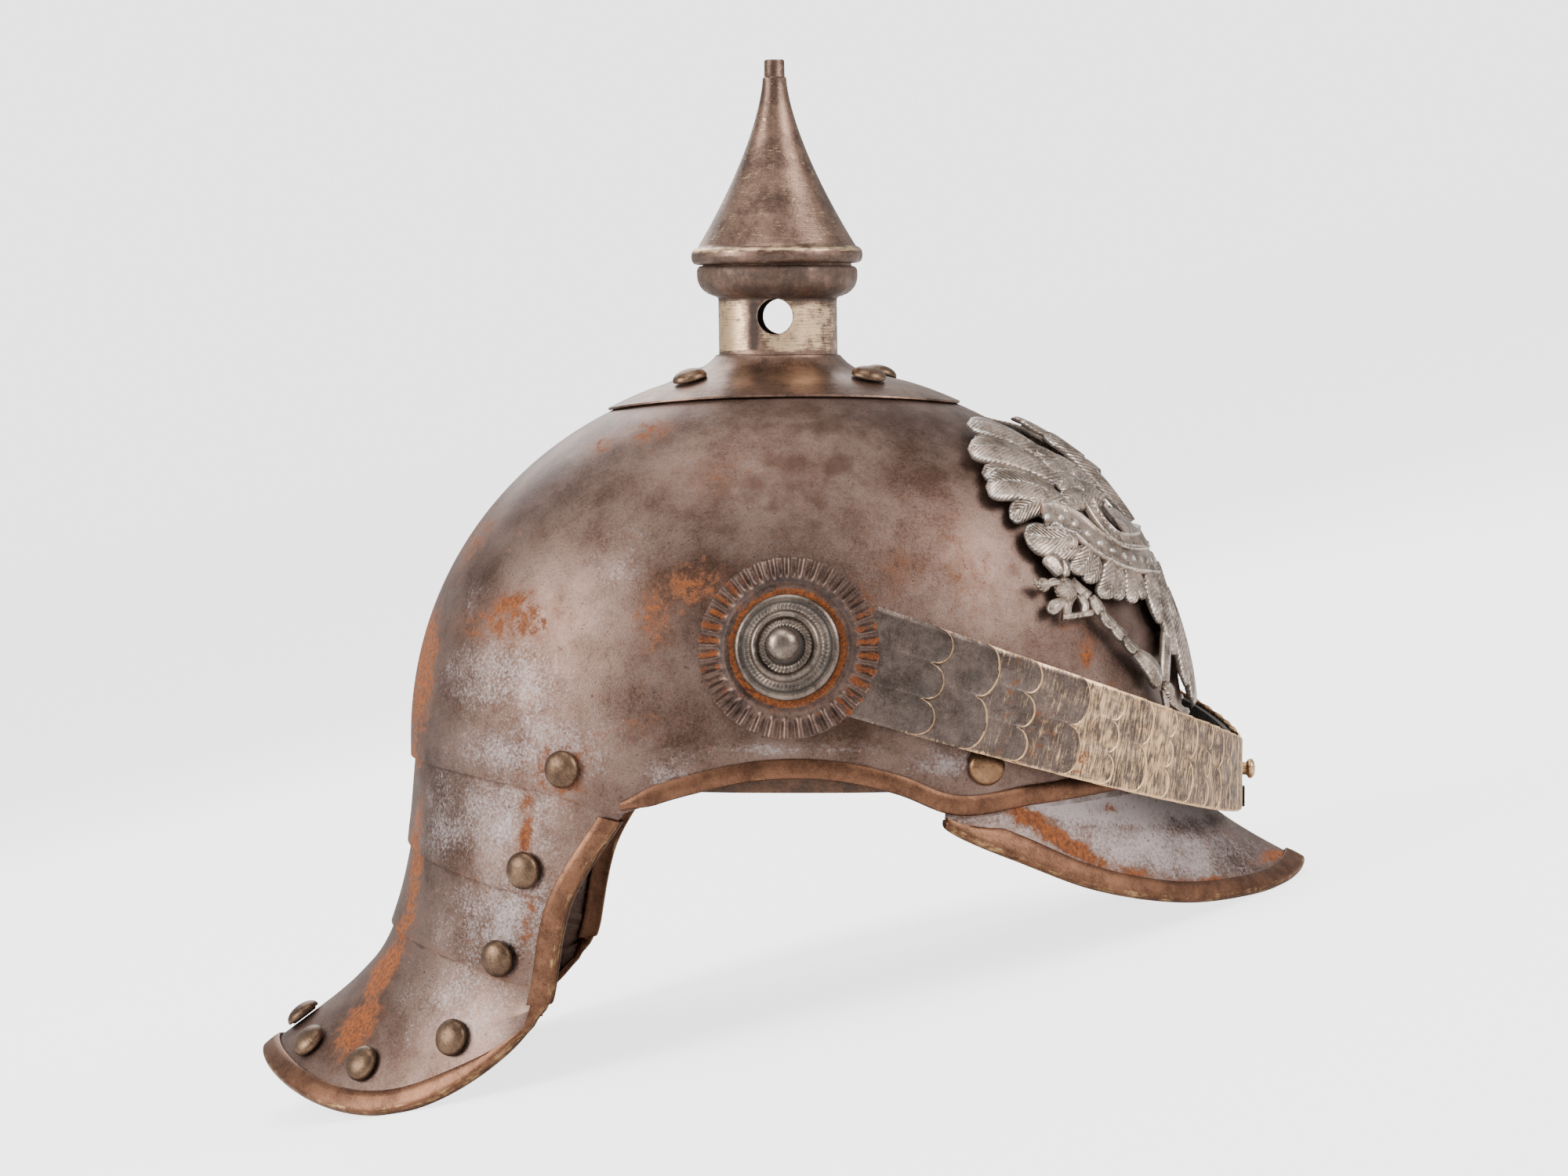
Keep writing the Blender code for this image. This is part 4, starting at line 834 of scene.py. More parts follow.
def makeLames():
    # Each lame is tucked under the one above, and rises to the guard's surface at its own lower edge.
    overlap, wall = guardSizes["overlap"], guardSizes["wall"]
    for number, (top, bottom) in enumerate(((0, 1), (1, 2), (2, 4)), 1):
        levels = np.linspace(top - overlap, bottom, 22 + 20 * (number == 3))
        across, level = np.meshgrid(np.linspace(-1, 1, 181), levels)
        points, normals = guardPoint(across, level), guardNormal(across, level)
        step = (skullSizes["wall"] if top == 0 else wall) + gap
        riseEnd = min(bottom - overlap, top + 0.9)
        offset = -step * (1 - np.clip((level - top) / (riseEnd - top), 0, 1))
        marks = steelMarks(points)
        seam = bell(level, top, 0.06)
        marks[..., 2] = np.maximum(marks[..., 2], 0.75 * seam)
        marks[..., 0] = np.maximum(marks[..., 0], 0.3 * bell(level, bottom, 0.05))
        makePiece(f"lame{number}", [sheetBlock(points, normals, offset, offset - wall, False, marks)],
                  finishes["lame"], [f"lame_{number}"])


def edgingBlock(path, far, normalPath, normalFar, slotTop, slotBottom, wall, play):
    # A strip folded over a sheet's edge: a closed profile of depth and height carried along the edge.
    width = np.linalg.norm(far - path, axis=-1, keepdims=True)
    inward = unit(far - path)
    middle, reach = (slotTop - slotBottom) / 2, (slotTop + slotBottom) / 2
    turns = np.radians(np.linspace(80, -80, 9))
    outer = [(1.0, slotTop), (1.0, slotTop + 0.55 * wall), (0.93, slotTop + wall),
             (0.6, slotTop + 1.2 * wall), (0.25, slotTop + 1.15 * wall)]
    nose = [(-(play + wall) * 1.25 * math.cos(turn), middle + (reach + wall) * math.sin(turn))
            for turn in turns]
    under = [(0.25, -slotBottom - 1.1 * wall), (0.6, -slotBottom - 1.1 * wall), (0.93, -slotBottom - wall),
             (1.0, -slotBottom - 0.5 * wall), (1.0, -slotBottom), (0.5, -slotBottom),
             (-play * 0.5, -slotBottom), (-play * 0.5, slotTop), (0.5, slotTop)]
    rows, marks, flow = [], [], []
    length = np.concatenate([[0], np.cumsum(np.linalg.norm(np.diff(path, axis=0), axis=-1))])
    for number, (depth, height) in enumerate(outer + nose + under):
        inNose = len(outer) <= number < len(outer) + len(nose)
        share = 0.0 if depth < 0 else depth
        base = path + (far - path) * share + (inward * depth if depth < 0 else 0)
        rows.append(base + unit(normalPath + (normalFar - normalPath) * share) * height)
        bright = 0.75 if inNose else (0.1 if number < len(outer) else 0.0)
        marks.append(np.broadcast_to((0.0, bright, 0.35 if number < 2 else 0.0), (len(path), 3)))
        flow.append(np.stack([length, np.full(len(path), float(number)), width[:, 0]], axis=-1))
    return cappedBlock(np.stack(rows), np.stack(marks), np.stack(flow))


trimSizes = {"wall": 0.7, "play": 0.4, "width": 6.0}


def makeGuardTrim():
    # The edge runs down one side, round the rim and up the other side; the flange keeps one width all along.
    sides = np.linspace(0.08, 4, 90)
    rim = np.linspace(1, -1, 181)
    across = np.concatenate([np.ones(89), rim, -np.ones(89)])
    level = np.concatenate([sides[:-1], np.full(181, 4.0), sides[-2::-1]])
    step = 0.01
    size = np.abs(across)
    perAcross = np.linalg.norm(guardPoint(1, level) - guardPoint(1 - step, level), axis=-1) / step
    perLevel = np.linalg.norm(guardPoint(across, 4) - guardPoint(across, 4 - step), axis=-1) / step
    farAcross = np.sign(across) * np.minimum(size, 1 - trimSizes["width"] / perAcross)
    farLevel = np.minimum(level, 4 - trimSizes["width"] / perLevel)
    path, far = guardPoint(across, level), guardPoint(farAcross, farLevel)
    slotBottom = skullSizes["wall"] + gap + guardSizes["wall"] + trimSizes["play"]
    block = edgingBlock(path, far, guardNormal(across, level), guardNormal(farAcross, farLevel),
                        trimSizes["play"], slotBottom, trimSizes["wall"], trimSizes["play"])
    makePiece("guardTrim", [block], finishes["trim"], ["tail_trim"], 50)


makeLames()
makeGuardTrim()
print("neck guard made")


# Peak

peakSizes = {
    "wall": 1.2, "reach": 167.0, "drop": 45.1, "fullness": 1.5,
    "rimPlaces": (0.0, 0.19, 0.34, 0.52, 0.69, 1.0), "rimDrops": (0.385, 0.63, 0.85, 0.985, 0.985, 0.852),
}


def peakPoint(across, share):
    # From the skull's lower edge out to a rim on a rounded arc; the fall is steep at first and then eases.
    across, share = np.broadcast_arrays(np.asarray(across, float), np.asarray(share, float))
    angle = across * skullSizes["peakAngle"]
    rootX, rootY = skullPlan(angle)
    rootZ = edgeHeight(angle) - 4 * gap
    turn = (1 - np.abs(across)) * math.pi / 2
    sideX, sideY = skullPlan(skullSizes["peakAngle"])
    power = 2 / peakSizes["fullness"]
    rimX = sideX + (peakSizes["reach"] - sideX) * np.sin(turn) ** power
    rimY = np.sign(across) * (sideY + 2 * gap) * np.maximum(np.cos(turn), 0) ** power
    fall = curveThrough(peakSizes["rimPlaces"], peakSizes["rimDrops"], 1 - np.abs(across))
    rimZ = browLevel - peakSizes["drop"] * fall
    outward = np.maximum(share, 0)
    upright = np.minimum(share, 0)
    return np.stack([rootX + (rimX - rootX) * outward, rootY + (rimY - rootY) * outward,
                     rootZ + (rimZ - rootZ) * outward ** 0.66 - upright * 3 * gap], axis=-1)


peakRust = ((92, 88, 20, 3.5, -32, 0.95), (80, 96, 9, 3.5, -20, 0.95), (112, 79, 10, 2, -12, 0.7),
            (136, 76, 28, 1.6, 4, 0.62), (158, 84, 8, 2.5, 15, 0.75), (105, 99, 5, 2, 0, 0.5))
peakPale = ((100, 100, 34, 6, -4, 0.9), (125, 100, 20, 5, 0, 0.8), (118, 86, 30, 8, -6, 0.45),
            (62, 103, 9, 5, 0, 0.6))


def makePeak():
    # The sheet, with its back edge turned up under the brow, and the folded edging on its rim.
    across = np.linspace(-1, 1, 201)
    shares = np.concatenate([[-1], np.linspace(0, 1, 44) ** 1.6])
    gridAcross, gridShare = np.meshgrid(across, shares)
    points = peakPoint(gridAcross, gridShare)
    normals = gridNormals(points, False, (0, 0, 0))
    level = unit(normals[2] * (1, 1, 0))
    normals[0] = level
    normals[1] = unit(level + (0, 0, 0.15))
    marks = np.stack([patches(points, peakRust), patches(points, peakPale), np.zeros(points.shape[:2])],
                     axis=-1)
    marks[:4, :, 2] = 0.6
    makePiece("peakSheet", [sheetBlock(points, normals, 0, -peakSizes["wall"], False, marks)],
              finishes["peak"], ["peak"])
    # The edging: its flange is a fixed width, or half the peak's depth where the peak is narrow
    path = peakPoint(across, 1)
    step = 0.01
    depth = np.linalg.norm(path - peakPoint(across, 0), axis=-1)
    perShare = np.linalg.norm(path - peakPoint(across, 1 - step), axis=-1) / step
    back = 1 - np.minimum(trimSizes["width"], depth * 0.5) / perShare
    far = peakPoint(across, back)
    slotBottom = peakSizes["wall"] + trimSizes["play"]
    rim = normals[-1]
    block = edgingBlock(path, far, rim, normals[-6], trimSizes["play"], slotBottom, trimSizes["wall"],
                        trimSizes["play"])
    makePiece("peakTrim", [block], finishes["trim"], ["peak_trim"], 50)


makePeak()
print("peak made")


# Spike

spikeSizes = {
    "plateShare": 0.45, "plateWall": 0.9, "neckRadius": 18.9, "neckWall": 1.2, "neckHeight": 23.3,
    "footHeight": 4.8, "collarRadius": 25.6, "collarHeight": 9.8, "ventRadius": 5.6, "ventRise": 17.1,
    "lean": math.radians(0.8), "ringRadius": 27.3, "ringHeight": 5.2, "coneRadius": 25.2,
    "coneHeight": 53.7, "coneCurve": 1.5, "stubRadius": 3.3, "stubHeight": 5.8, "stubBore": 1.2,
    "finialWall": 1.3, "columns": 192, "plateOffset": 0.045, "holeShare": 0.16, "crestShare": 0.31,
    "stripAngle": 4.35,
    "studShare": 0.31, "studTurn": math.radians(-2.5),
}
crown = skullSizes["crownHeight"]


def leanAt(height):
    # How far back the spike's axis is: the height above the crown times the lean's tangent.
    return -np.maximum(height - crown, 0) * math.tan(spikeSizes["lean"])


def spikeRing(radius, height, angles):
    # A level ring about the leaning axis.
    return np.stack([radius * np.cos(angles) + leanAt(height), radius * np.sin(angles),
                     np.full(len(angles), browLevel + height)], axis=-1)


def plateRing(share, offset, angles):
    # A ring of the skull a little back of its middle, pushed out along the surface's own direction.
    spread = share * (1 - spikeSizes["plateOffset"] * np.cos(angles))
    points = skullPoint(angles, spread)
    slope = unit(skullPoint(angles, spread * 1.001) - skullPoint(angles, spread * 0.999))
    across = unit(np.roll(points, -1, axis=0) - np.roll(points, 1, axis=0))
    normals = unit(np.cross(slope, across))
    return points + normals * np.sign(normals[:, 2:]) * offset


def makeSpikeBase():
    # Plate over the crown, flared foot, neck and collar as one ring of rows, with two vent holes cut through.
    sizes = spikeSizes
    angles = np.linspace(0, 2 * math.pi, sizes["columns"], endpoint=False)
    over = gap + sizes["plateWall"]
    low, top = crown + sizes["neckHeight"], crown + sizes["neckHeight"] + sizes["collarHeight"]
    neck, bore = sizes["neckRadius"], sizes["neckRadius"] - sizes["neckWall"]
    shares = np.linspace(sizes["holeShare"], sizes["plateShare"], 10)
    rows = [plateRing(share, gap, angles) for share in shares]
    rows += [plateRing(sizes["plateShare"] + 0.003, gap + 0.5 * sizes["plateWall"], angles)]
    for share in np.linspace(sizes["plateShare"], sizes["crestShare"], 8):
        swell = 0.25 * smooth(sizes["plateShare"] - share, 0, 0.12)
        rows.append(plateRing(share, over * (1 + swell), angles))
    start = rows[-1]
    foot = sizes["footHeight"]
    flare = ((1.42, -0.05), (1.28, 0.2), (1.17, 0.5), (1.09, 0.8), (1.055, 0.95), (1.05, 1.0), (1.02, 1.03),
             (1.0, 1.05))
    rows += [spikeRing(neck * wide, crown + foot * high, angles) for wide, high in flare]
    first = rows[-len(flare)]
    rows[-len(flare)] = first * 0.5 + start * 0.5
    heights = np.linspace(foot * 1.2, sizes["neckHeight"] - 0.6, 18)
    rows += [spikeRing(neck, crown + height, angles) for height in heights]
    collar = ((0.76, 0.0), (0.80, 0.03), (0.86, 0.09), (0.92, 0.2), (0.965, 0.34), (0.99, 0.5),
              (1.0, 0.66), (1.0, 0.85), (0.985, 0.95), (0.955, 1.0), (0.93, 1.0))
    for wide, high in collar:
        rows.append(spikeRing(sizes["collarRadius"] * wide, low + sizes["collarHeight"] * high, angles))
    for radius in (0.925 * sizes["collarRadius"], bore + 1):
        lip = spikeRing(radius, top + 0.25, angles)
        lip[..., 2] += math.tan(sizes["lean"]) * (sizes["collarRadius"] + radius * np.cos(angles))
        rows.append(lip)
    rows.append(spikeRing(bore, top - 0.5, angles))
    rows += [spikeRing(bore, height, angles) for height in np.linspace(top - 3, crown + foot, 12)]
    rows = np.stack(rows)
    flow = np.zeros(rows.shape)
    flow[..., 0] = angles[None, :] * neck
    flow[..., 1] = rows[..., 2]
    marks = np.zeros(rows.shape)
    height = rows[..., 2] - browLevel - crown
    radius = np.hypot(rows[..., 0], rows[..., 1])
    onNeck = smooth(height, 5, 7) * (1 - smooth(height, 21, 23)) * (radius > neck - 0.4)
    # Rubbed brass round the neck, with a painted highlight: brighter on the near side towards the back,
    # dimmer on the far front.
    band = 0.75 + 0.35 * np.cos(angles + 2.1)[None, :]
    band = band - 1.1 * bell(angles, sizes["stripAngle"], 0.16)[None, :]
    marks[..., 1] = np.where(onNeck > 0.05, onNeck * band, 0.12)
    strip = 0.95 * onNeck * bell(angles, sizes["stripAngle"], 0.13)[None, :]
    # Darker in streaks upwards towards the underside of the collar, and a dark ring just under it.
    darkBelowCollar = 0.9 * onNeck * smooth(height, 17.5, 22) * (0.75 + 0.25 * np.sin(angles * 9)[None, :])
    marks[..., 2] = np.maximum.reduce([strip, darkBelowCollar, 0.75 * bell(height, 5.1, 0.35),
                                       0.85 * bell(height, 22.6, 1.0),
                                       0.62 * (height > 23.5) * (height < 34),
                                       np.where(radius < neck - 0.5, 0.9, 0)])
    block = closedGrid(rows, True, marks, flow)
    base = makePiece("spikeBase", [block], finishes["spike"], ["spike_base"], 42)
    ventHeight = browLevel + crown + sizes["ventRise"]
    length = 3 * neck
    radius = sizes["ventRadius"]
    tube = turnedBlock(((0, 0), (radius, 0), (radius, length), (0, length)), 64,
                       np.array((float(leanAt(crown + sizes["ventRise"])), length / 2, ventHeight)),
                       (0, -1, 0))
    cutShape(base, tube)


def cutShape(piece, block):
    # Subtracts a closed block from a piece and keeps the result as its mesh.
    mesh = bpy.data.meshes.new("cutter")
    verts, faces, _, _ = block
    mesh.from_pydata(stand(verts).tolist(), [], faces.tolist())
    cleanMesh(mesh, True)
    cutter = addObject("cutter", mesh)
    cut = piece.modifiers.new("cut", "BOOLEAN")
    cut.operation = "DIFFERENCE"
    cut.solver = "EXACT"
    cut.object = cutter
    bpy.context.view_layer.update()
    result = bpy.data.meshes.new_from_object(piece.evaluated_get(bpy.context.evaluated_depsgraph_get()))
    piece.modifiers.remove(cut)
    piece.data = result
    bpy.data.objects.remove(cutter)


def makeFinial():
    # A rolled ring under a hollow cone whose radius falls as a power of the height, with a short tube on top.
    sizes = spikeSizes
    ring, ringRadius = sizes["ringHeight"], sizes["ringRadius"]
    bore = sizes["neckRadius"] - sizes["neckWall"]
    profile = [(bore, 0.0), (ringRadius * 0.93, 0.0), (ringRadius * 0.965, 0.3)]
    for turn in np.radians(np.linspace(-80, 80, 12)):
        profile.append((ringRadius * 0.965 + 0.95 * math.cos(turn),
                        ring * 0.5 + ring * 0.42 * math.sin(turn)))
    profile += [(ringRadius * 0.95, ring), (ringRadius * 0.93, ring + 0.2)]
    tip = sizes["stubRadius"] * 1.15
    shares = np.linspace(0, 1, 60)
    cone = [(tip + (sizes["coneRadius"] - tip) * (1 - share) ** sizes["coneCurve"],
             ring + 0.3 + (sizes["coneHeight"] - 0.3) * share) for share in shares]
    top = ring + sizes["coneHeight"]
    stub = sizes["stubRadius"]
    profile += cone + [(stub * 1.1, top + 0.1), (stub, top + 0.5),
                       (stub * 0.98, top + sizes["stubHeight"] - 0.5),
                       (stub * 0.9, top + sizes["stubHeight"])]
    profile += [(sizes["stubBore"] * 1.1, top + sizes["stubHeight"]),
                (sizes["stubBore"], top + sizes["stubHeight"] - 0.5), (sizes["stubBore"], top * 0.96)]
    for radius, height in (cone[42], cone[24], cone[7]):
        profile.append((radius - sizes["finialWall"], height - sizes["finialWall"]))
    foot = crown + sizes["neckHeight"] + sizes["collarHeight"] + gap
    foot += sizes["collarRadius"] * math.tan(sizes["lean"])
    profile = np.array(profile)
    marks = np.zeros((len(profile), 3))
    # Brighter on top of the rolled ring as a painted highlight and darker on its lower half as painted shade;
    # darker where the short tube stands on the cone.
    marks[:, 1] = 0.35 + 0.6 * bell(profile[:, 1], 4.4, 0.9) - 0.45 * bell(profile[:, 1], 2.4, 1.0)
    marks[:, 2] = 0.55 * (profile[:, 1] < 2.4) + 0.45 * bell(profile[:, 1] - top, 0.2, 0.3)
    block = turnedBlock(profile, sizes["columns"], np.array((float(leanAt(foot)), 0, browLevel + foot)),
                        (-math.tan(sizes["lean"]), 0, 1), marks)
    makePiece("spikeFinial", [block], finishes["spike"], ["spike_finial"], 42)


headSizes = {"skirt": 0.6, "rivetRadius": 5.8, "rivetHeight": 3.6, "studRadius": 5.5, "studHeight": 3.4,
             "columns": 40}


def domeProfile(radius, height, skirt):
    # A flat seat on a short skirt, an upright edge and a quarter oval.
    turns = np.radians(np.linspace(0, 90, 14))
    edge = height * 0.14
    cap = [(radius * math.cos(t), edge + (height - edge) * math.sin(t)) for t in turns[:-1]]
    below = [(0, -skirt), (radius * 0.72, -skirt), (radius * 0.8, 0)] if skirt else [(0, 0)]
    return [*below, (radius * 0.96, 0), (radius, edge * 0.5), *cap, (0, height)]


def domeBlock(radius, height, point, normal, skirt=0.0):
    # A dome turned about its normal, with a painted highlight towards the top and painted shade round the
    # foot.
    profile = np.array(domeProfile(radius, height, skirt))
    marks = np.zeros((len(profile), 3))
    marks[:, 1] = 0.35 * (profile[:, 1] / height) ** 2
    marks[:, 2] = 0.6 * (profile[:, 1] < 0.2 * height)
    return turnedBlock(profile, headSizes["columns"], point, normal, marks)


def makeStuds():
    # Four domes on the crest of the base plate, one in each quarter.
    crest = (gap + spikeSizes["plateWall"]) * 1.2
    for number, angle in enumerate((45, 135, 225, 315), 1):
        angle = math.radians(angle) + spikeSizes["studTurn"]
        share = spikeSizes["studShare"] * (1 - spikeSizes["plateOffset"] * math.cos(angle))
        rise = float(skullPoint(angle, share)[2]) - browLevel
        point, normal = skullFrame(angle, rise)
        block = domeBlock(headSizes["studRadius"], headSizes["studHeight"],
                          point + normal * (crest + 2 * gap), normal)
        makePiece(f"baseStud{number}", [block], finishes["rivet"], [f"base_stud_{number}"])


makeSpikeBase()
makeFinial()
makeStuds()
print("spike made")


# Rivets of the skull and the neck guard

def sideAngle(forward):
    # The plan's angle at a distance forward of the middle, from the rounded rectangle.
    reach = skullSizes["front"] if forward >= 0 else skullSizes["back"]
    turn = math.asin((abs(forward) / reach) ** (skullSizes["planFullness"] / 2))
    return math.pi / 2 - math.copysign(turn, forward)


def makeRivets():
    # Domes on both sides of the skull and the neck guard, and one in the middle of the tail.
    seat = 2 * gap
    mirrors = (("right", (1, -1, 1)), ("left", (1, 1, 1)))
    places = []
    for name, forward, rise, finish in (("skull_rivet", -61, -2.5, "rivet"),
                                        ("brow_rivet", 66.7, -1.0, "brow")):
        point, normal = skullFrame(sideAngle(forward), 0.0)
        point = point + normal * seat
        point[2] = browLevel + rise
        places.append((name, point, unit(normal * (1, 1, 0)), finish))
    for name, across, level in (("lame_rivet_1", 0.845, 0.762), ("lame_rivet_2", 0.83, 1.75),
                                ("tail_rivet_1", 0.729, 3.12),
                                ("tail_rivet_2", 0.483, 3.55), ("tail_rivet_3", 0.238, 3.64)):
        normal = guardNormal(across, level)
        places.append((name, guardPoint(across, level) + normal * seat * 1.5, normal, "rivet"))
    for name, point, normal, finish in places:
        for hand, mirror in mirrors:
            label = name.replace("_rivet", "Rivet").replace("_", "") + hand.capitalize()
            block = domeBlock(headSizes["rivetRadius"], headSizes["rivetHeight"], point * mirror,
                              normal * mirror,
                              headSizes["skirt"] if finish == "rivet" and name != "skull_rivet" else 0.0)
            makePiece(label, [block], finishes[finish], [f"{name}_{hand}"])
    normal = guardNormal(0, 3.61)
    block = domeBlock(headSizes["rivetRadius"], headSizes["rivetHeight"],
                      guardPoint(0, 3.61) + normal * seat * 1.5, normal, headSizes["skirt"])
    makePiece("tailRivetMiddle", [block], finishes["rivet"], ["tail_rivet_middle"])


makeRivets()
print("rivets made")


# Rosettes and bosses

rosetteSizes = {
    "radius": 27.5, "wall": 0.9, "standOff": 2.5, "hub": 13.0, "bore": 3.0, "flutes": 36, "fluteDepth": 1.5,
    "fluteStart": 20.0, "forward": 8.5, "rise": 34.8, "turn": math.radians(8),
}


def rosetteSeat(side):
    # The skull's surface at the rosette, with its direction turned a little back.
    sizes = rosetteSizes
    point, normal = skullFrame(sideAngle(sizes["forward"]), sizes["rise"])
    turn = sizes["turn"]
    normal = np.array((normal[0] * math.cos(turn) - normal[1] * math.sin(turn),
                       normal[0] * math.sin(turn) + normal[1] * math.cos(turn), normal[2]))
    mirror = np.array((1, side, 1))
    point, normal = point * mirror, normal * mirror
    return point + normal * (gap + sizes["hub"] * math.sin(turn)), normal


def discBlock(rings, columns, depths, point, normal, marks):
    # Rings of radius and height, with a wave of the given depth round each ring.
    turn = np.linspace(0, 2 * math.pi, columns, endpoint=False)
    axis = unit(normal)
    side = unit(np.cross((0, 0, 1), axis))
    other = np.cross(axis, side)
    radius, height = np.array(rings)[:, :1, None], np.array(rings)[:, 1:, None]
    wave = depths(turn[None, :], np.array(rings)[:, :1])[..., None]
    points = point + radius * (np.cos(turn)[None, :, None] * side
                               + np.sin(turn)[None, :, None] * other) + (height + wave) * axis
    return closedGrid(points, True, marks(turn[None, :], np.array(rings)[:, :1], points))


def makeRosettes():
    # A fluted disc and a roped boss on each side, both rings with a wave round them.
    sizes = rosetteSizes
    start, outer, off, wall = sizes["fluteStart"], sizes["radius"], sizes["standOff"], sizes["wall"]

    def ridges(turn):
        return np.abs(np.cos(turn * sizes["flutes"] / 2)) ** 2.2

    def flutes(turn, radius):
        # Narrow rounded ridges between wide hollows, growing from the inner ring to the rim.
        return (ridges(turn) - 0.55) * sizes["fluteDepth"] * smooth(radius, start, start + 3)

    def rosetteMarks(turn, radius, points):
        ridge = ridges(turn)
        inFlutes = smooth(radius, start, start + 2)
        lower = smooth(-points[..., 2], -152, -140)
        hollows = 0.75 * (1 - ridge) * (0.55 + 0.45 * np.cos(turn * 2 + 0.4)) - 0.25
        rust = np.where(radius < 18.3, 1.15 + 0.4 * lower, 0.3) + inFlutes * hollows
        bright = inFlutes * ridge * 0.5 + 0 * turn
        # A dark ring in the groove outside the raised bead: dirt and painted shade.
        dirtAndShade = 0.75 * bell(radius, 20.2, 1.0) * (1 - lower) + 0 * turn
        return np.stack([rust, bright, dirtAndShade], axis=-1)

    def ropes(turn, radius):
        band = bell(radius, 12.2, 0.9) + bell(radius, 7.0, 0.7)
        return 0.28 * band * np.cos(turn * np.where(radius > 9.5, 64, 40) + radius * 1.6)

    def bossMarks(turn, radius, points):
        # Painted highlight on the crests of the boss, and painted shade in the ropes and on the edges of the
        # steps.
        rope = bell(radius, 12.2, 1.1) + bell(radius, 7.0, 0.9)
        crest = bell(radius, 9.4, 0.8) + bell(radius, 3.0, 2.4) + 0.4 * bell(radius, 15.4, 0.5)
        edge = bell(radius, 13.6, 0.35) + bell(radius, 5.4, 0.4)
        return np.stack([0 * rope + 0 * turn, 1.0 * crest - 0.3 + 0 * turn,
                         np.clip(0.6 * rope + 1.1 * edge, 0, 1.1) + 0 * turn], axis=-1)

    top = [(sizes["bore"], off + wall), (8, off + wall), (13, off + wall), (15.5, off + wall),
           (17, off + wall + 0.1), (18.3, off + wall + 0.5), (19.2, off + wall + 0.7),
           (19.8, off + wall + 0.45), (20.4, off + wall + 0.2)]
    for radius, share in zip(np.linspace(21, outer - 0.2, 12), np.linspace(0, 1, 12)):
        top.append((radius, off + wall * (1 - 0.35 * share)))
    rings = top + [(outer, off + 0.3 * wall), (outer - 0.2, off - 0.3 * wall), (24, off - 0.2), (21, off),
                   (18.5, off + 0.4), (17, off), (sizes["hub"] + 0.2, off),
                   (sizes["hub"], off - 0.3), (sizes["hub"], 0), (sizes["bore"], 0)]
    boss = [(0, 0), (15.7, 0), (16, 0.3), (16, 1.6), (15.7, 2.1), (15.1, 2.5), (14.3, 2.75), (13.7, 2.5),
            (13.5, 2.6), (13.2, 3.2), (12.8, 3.6), (12.2, 3.8), (11.6, 3.9), (11.1, 4.1), (10.8, 4.7),
            (10.4, 5.5), (9.9, 6.1), (9.3, 6.3), (8.7, 6.1), (8.3, 5.6), (8.0, 5.1), (7.6, 5.2), (7.0, 5.5),
            (6.4, 5.6), (6.0, 5.5), (5.6, 5.3), (5.4, 6.0), (5.35, 7.5), (5.25, 9.0), (5.0, 10.3),
            (4.5, 11.5), (3.8, 12.4), (2.8, 13.0), (1.5, 13.4), (0.5, 13.5), (0, 13.5)]
    for side, hand in ((-1, "right"), (1, "left")):
        seat, normal = rosetteSeat(side)
        disc = discBlock(rings, sizes["flutes"] * 14, flutes, seat, normal, rosetteMarks)
        makePiece(f"rosette{hand.capitalize()}", [disc], finishes["rosette"], [f"rosette_{hand}"], 50)
        knob = discBlock(boss, 384, ropes, seat + normal * (off + wall + gap), normal, bossMarks)
        makePiece(f"boss{hand.capitalize()}", [knob], finishes["boss"], [f"boss_{hand}"], 50)


makeRosettes()
print("rosettes made")


# Chin straps

strapSizes = {
    "reach": 144.5, "halfWidth": 98.5, "endAngle": math.radians(79.5), "frontRise": -10.8, "climb": 42.0,
    "frontWidth": 22.5,
    "widening": 12.5, "lean": math.radians(15), "leatherWall": 1.4, "scaleWall": 0.65, "scaleStep": 1.15,
    "rimWidth": 0.9,
    "edges": (0.885, 0.806, 0.733, 0.640, 0.566, 0.494, 0.430, 0.361, 0.300, 0.246, 0.190, 0.135, 0.088,
              0.048),
}


def strapCentre(share):
    # A rounded arc from one rosette over the peak to the other, climbing towards its ends.
    share = np.asarray(share, float)
    angle = share * strapSizes["endAngle"]
    power = 2 / skullSizes["planFullness"]
    rise = strapSizes["frontRise"] + strapSizes["climb"] * np.abs(share) ** 1.6
    return np.stack([strapSizes["reach"] * signedPower(np.cos(angle), power),
                     strapSizes["halfWidth"] * signedPower(np.sin(angle), power), browLevel + rise],
                    axis=-1)


def strapPoint(share, across):
    # The inner face of the strap: the middle line moved up or down along a direction that leans to the skull.
    share, across = np.broadcast_arrays(np.asarray(share, float), np.asarray(across, float))
    step = 0.003
    centre = strapCentre(share)
    along = unit(strapCentre(np.clip(share + step, -1, 1)) - strapCentre(np.clip(share - step, -1, 1)))
    outward = unit(np.stack([along[..., 1], -along[..., 0], np.zeros_like(share)], axis=-1))
    outward *= np.sign(np.sum(outward * centre, axis=-1, keepdims=True))
    tilt = (strapSizes["lean"] * np.abs(share) ** 2)[..., None]
    upright = np.array((0, 0, 1.0))
    up = upright * np.cos(tilt) - outward * np.sin(tilt)
    up = unit(up - along * np.sum(up * along, axis=-1, keepdims=True))
    width = strapSizes["frontWidth"] + strapSizes["widening"] * np.abs(share)
    return centre + up * (width * across)[..., None], outward * np.cos(tilt) + upright * np.sin(tilt)


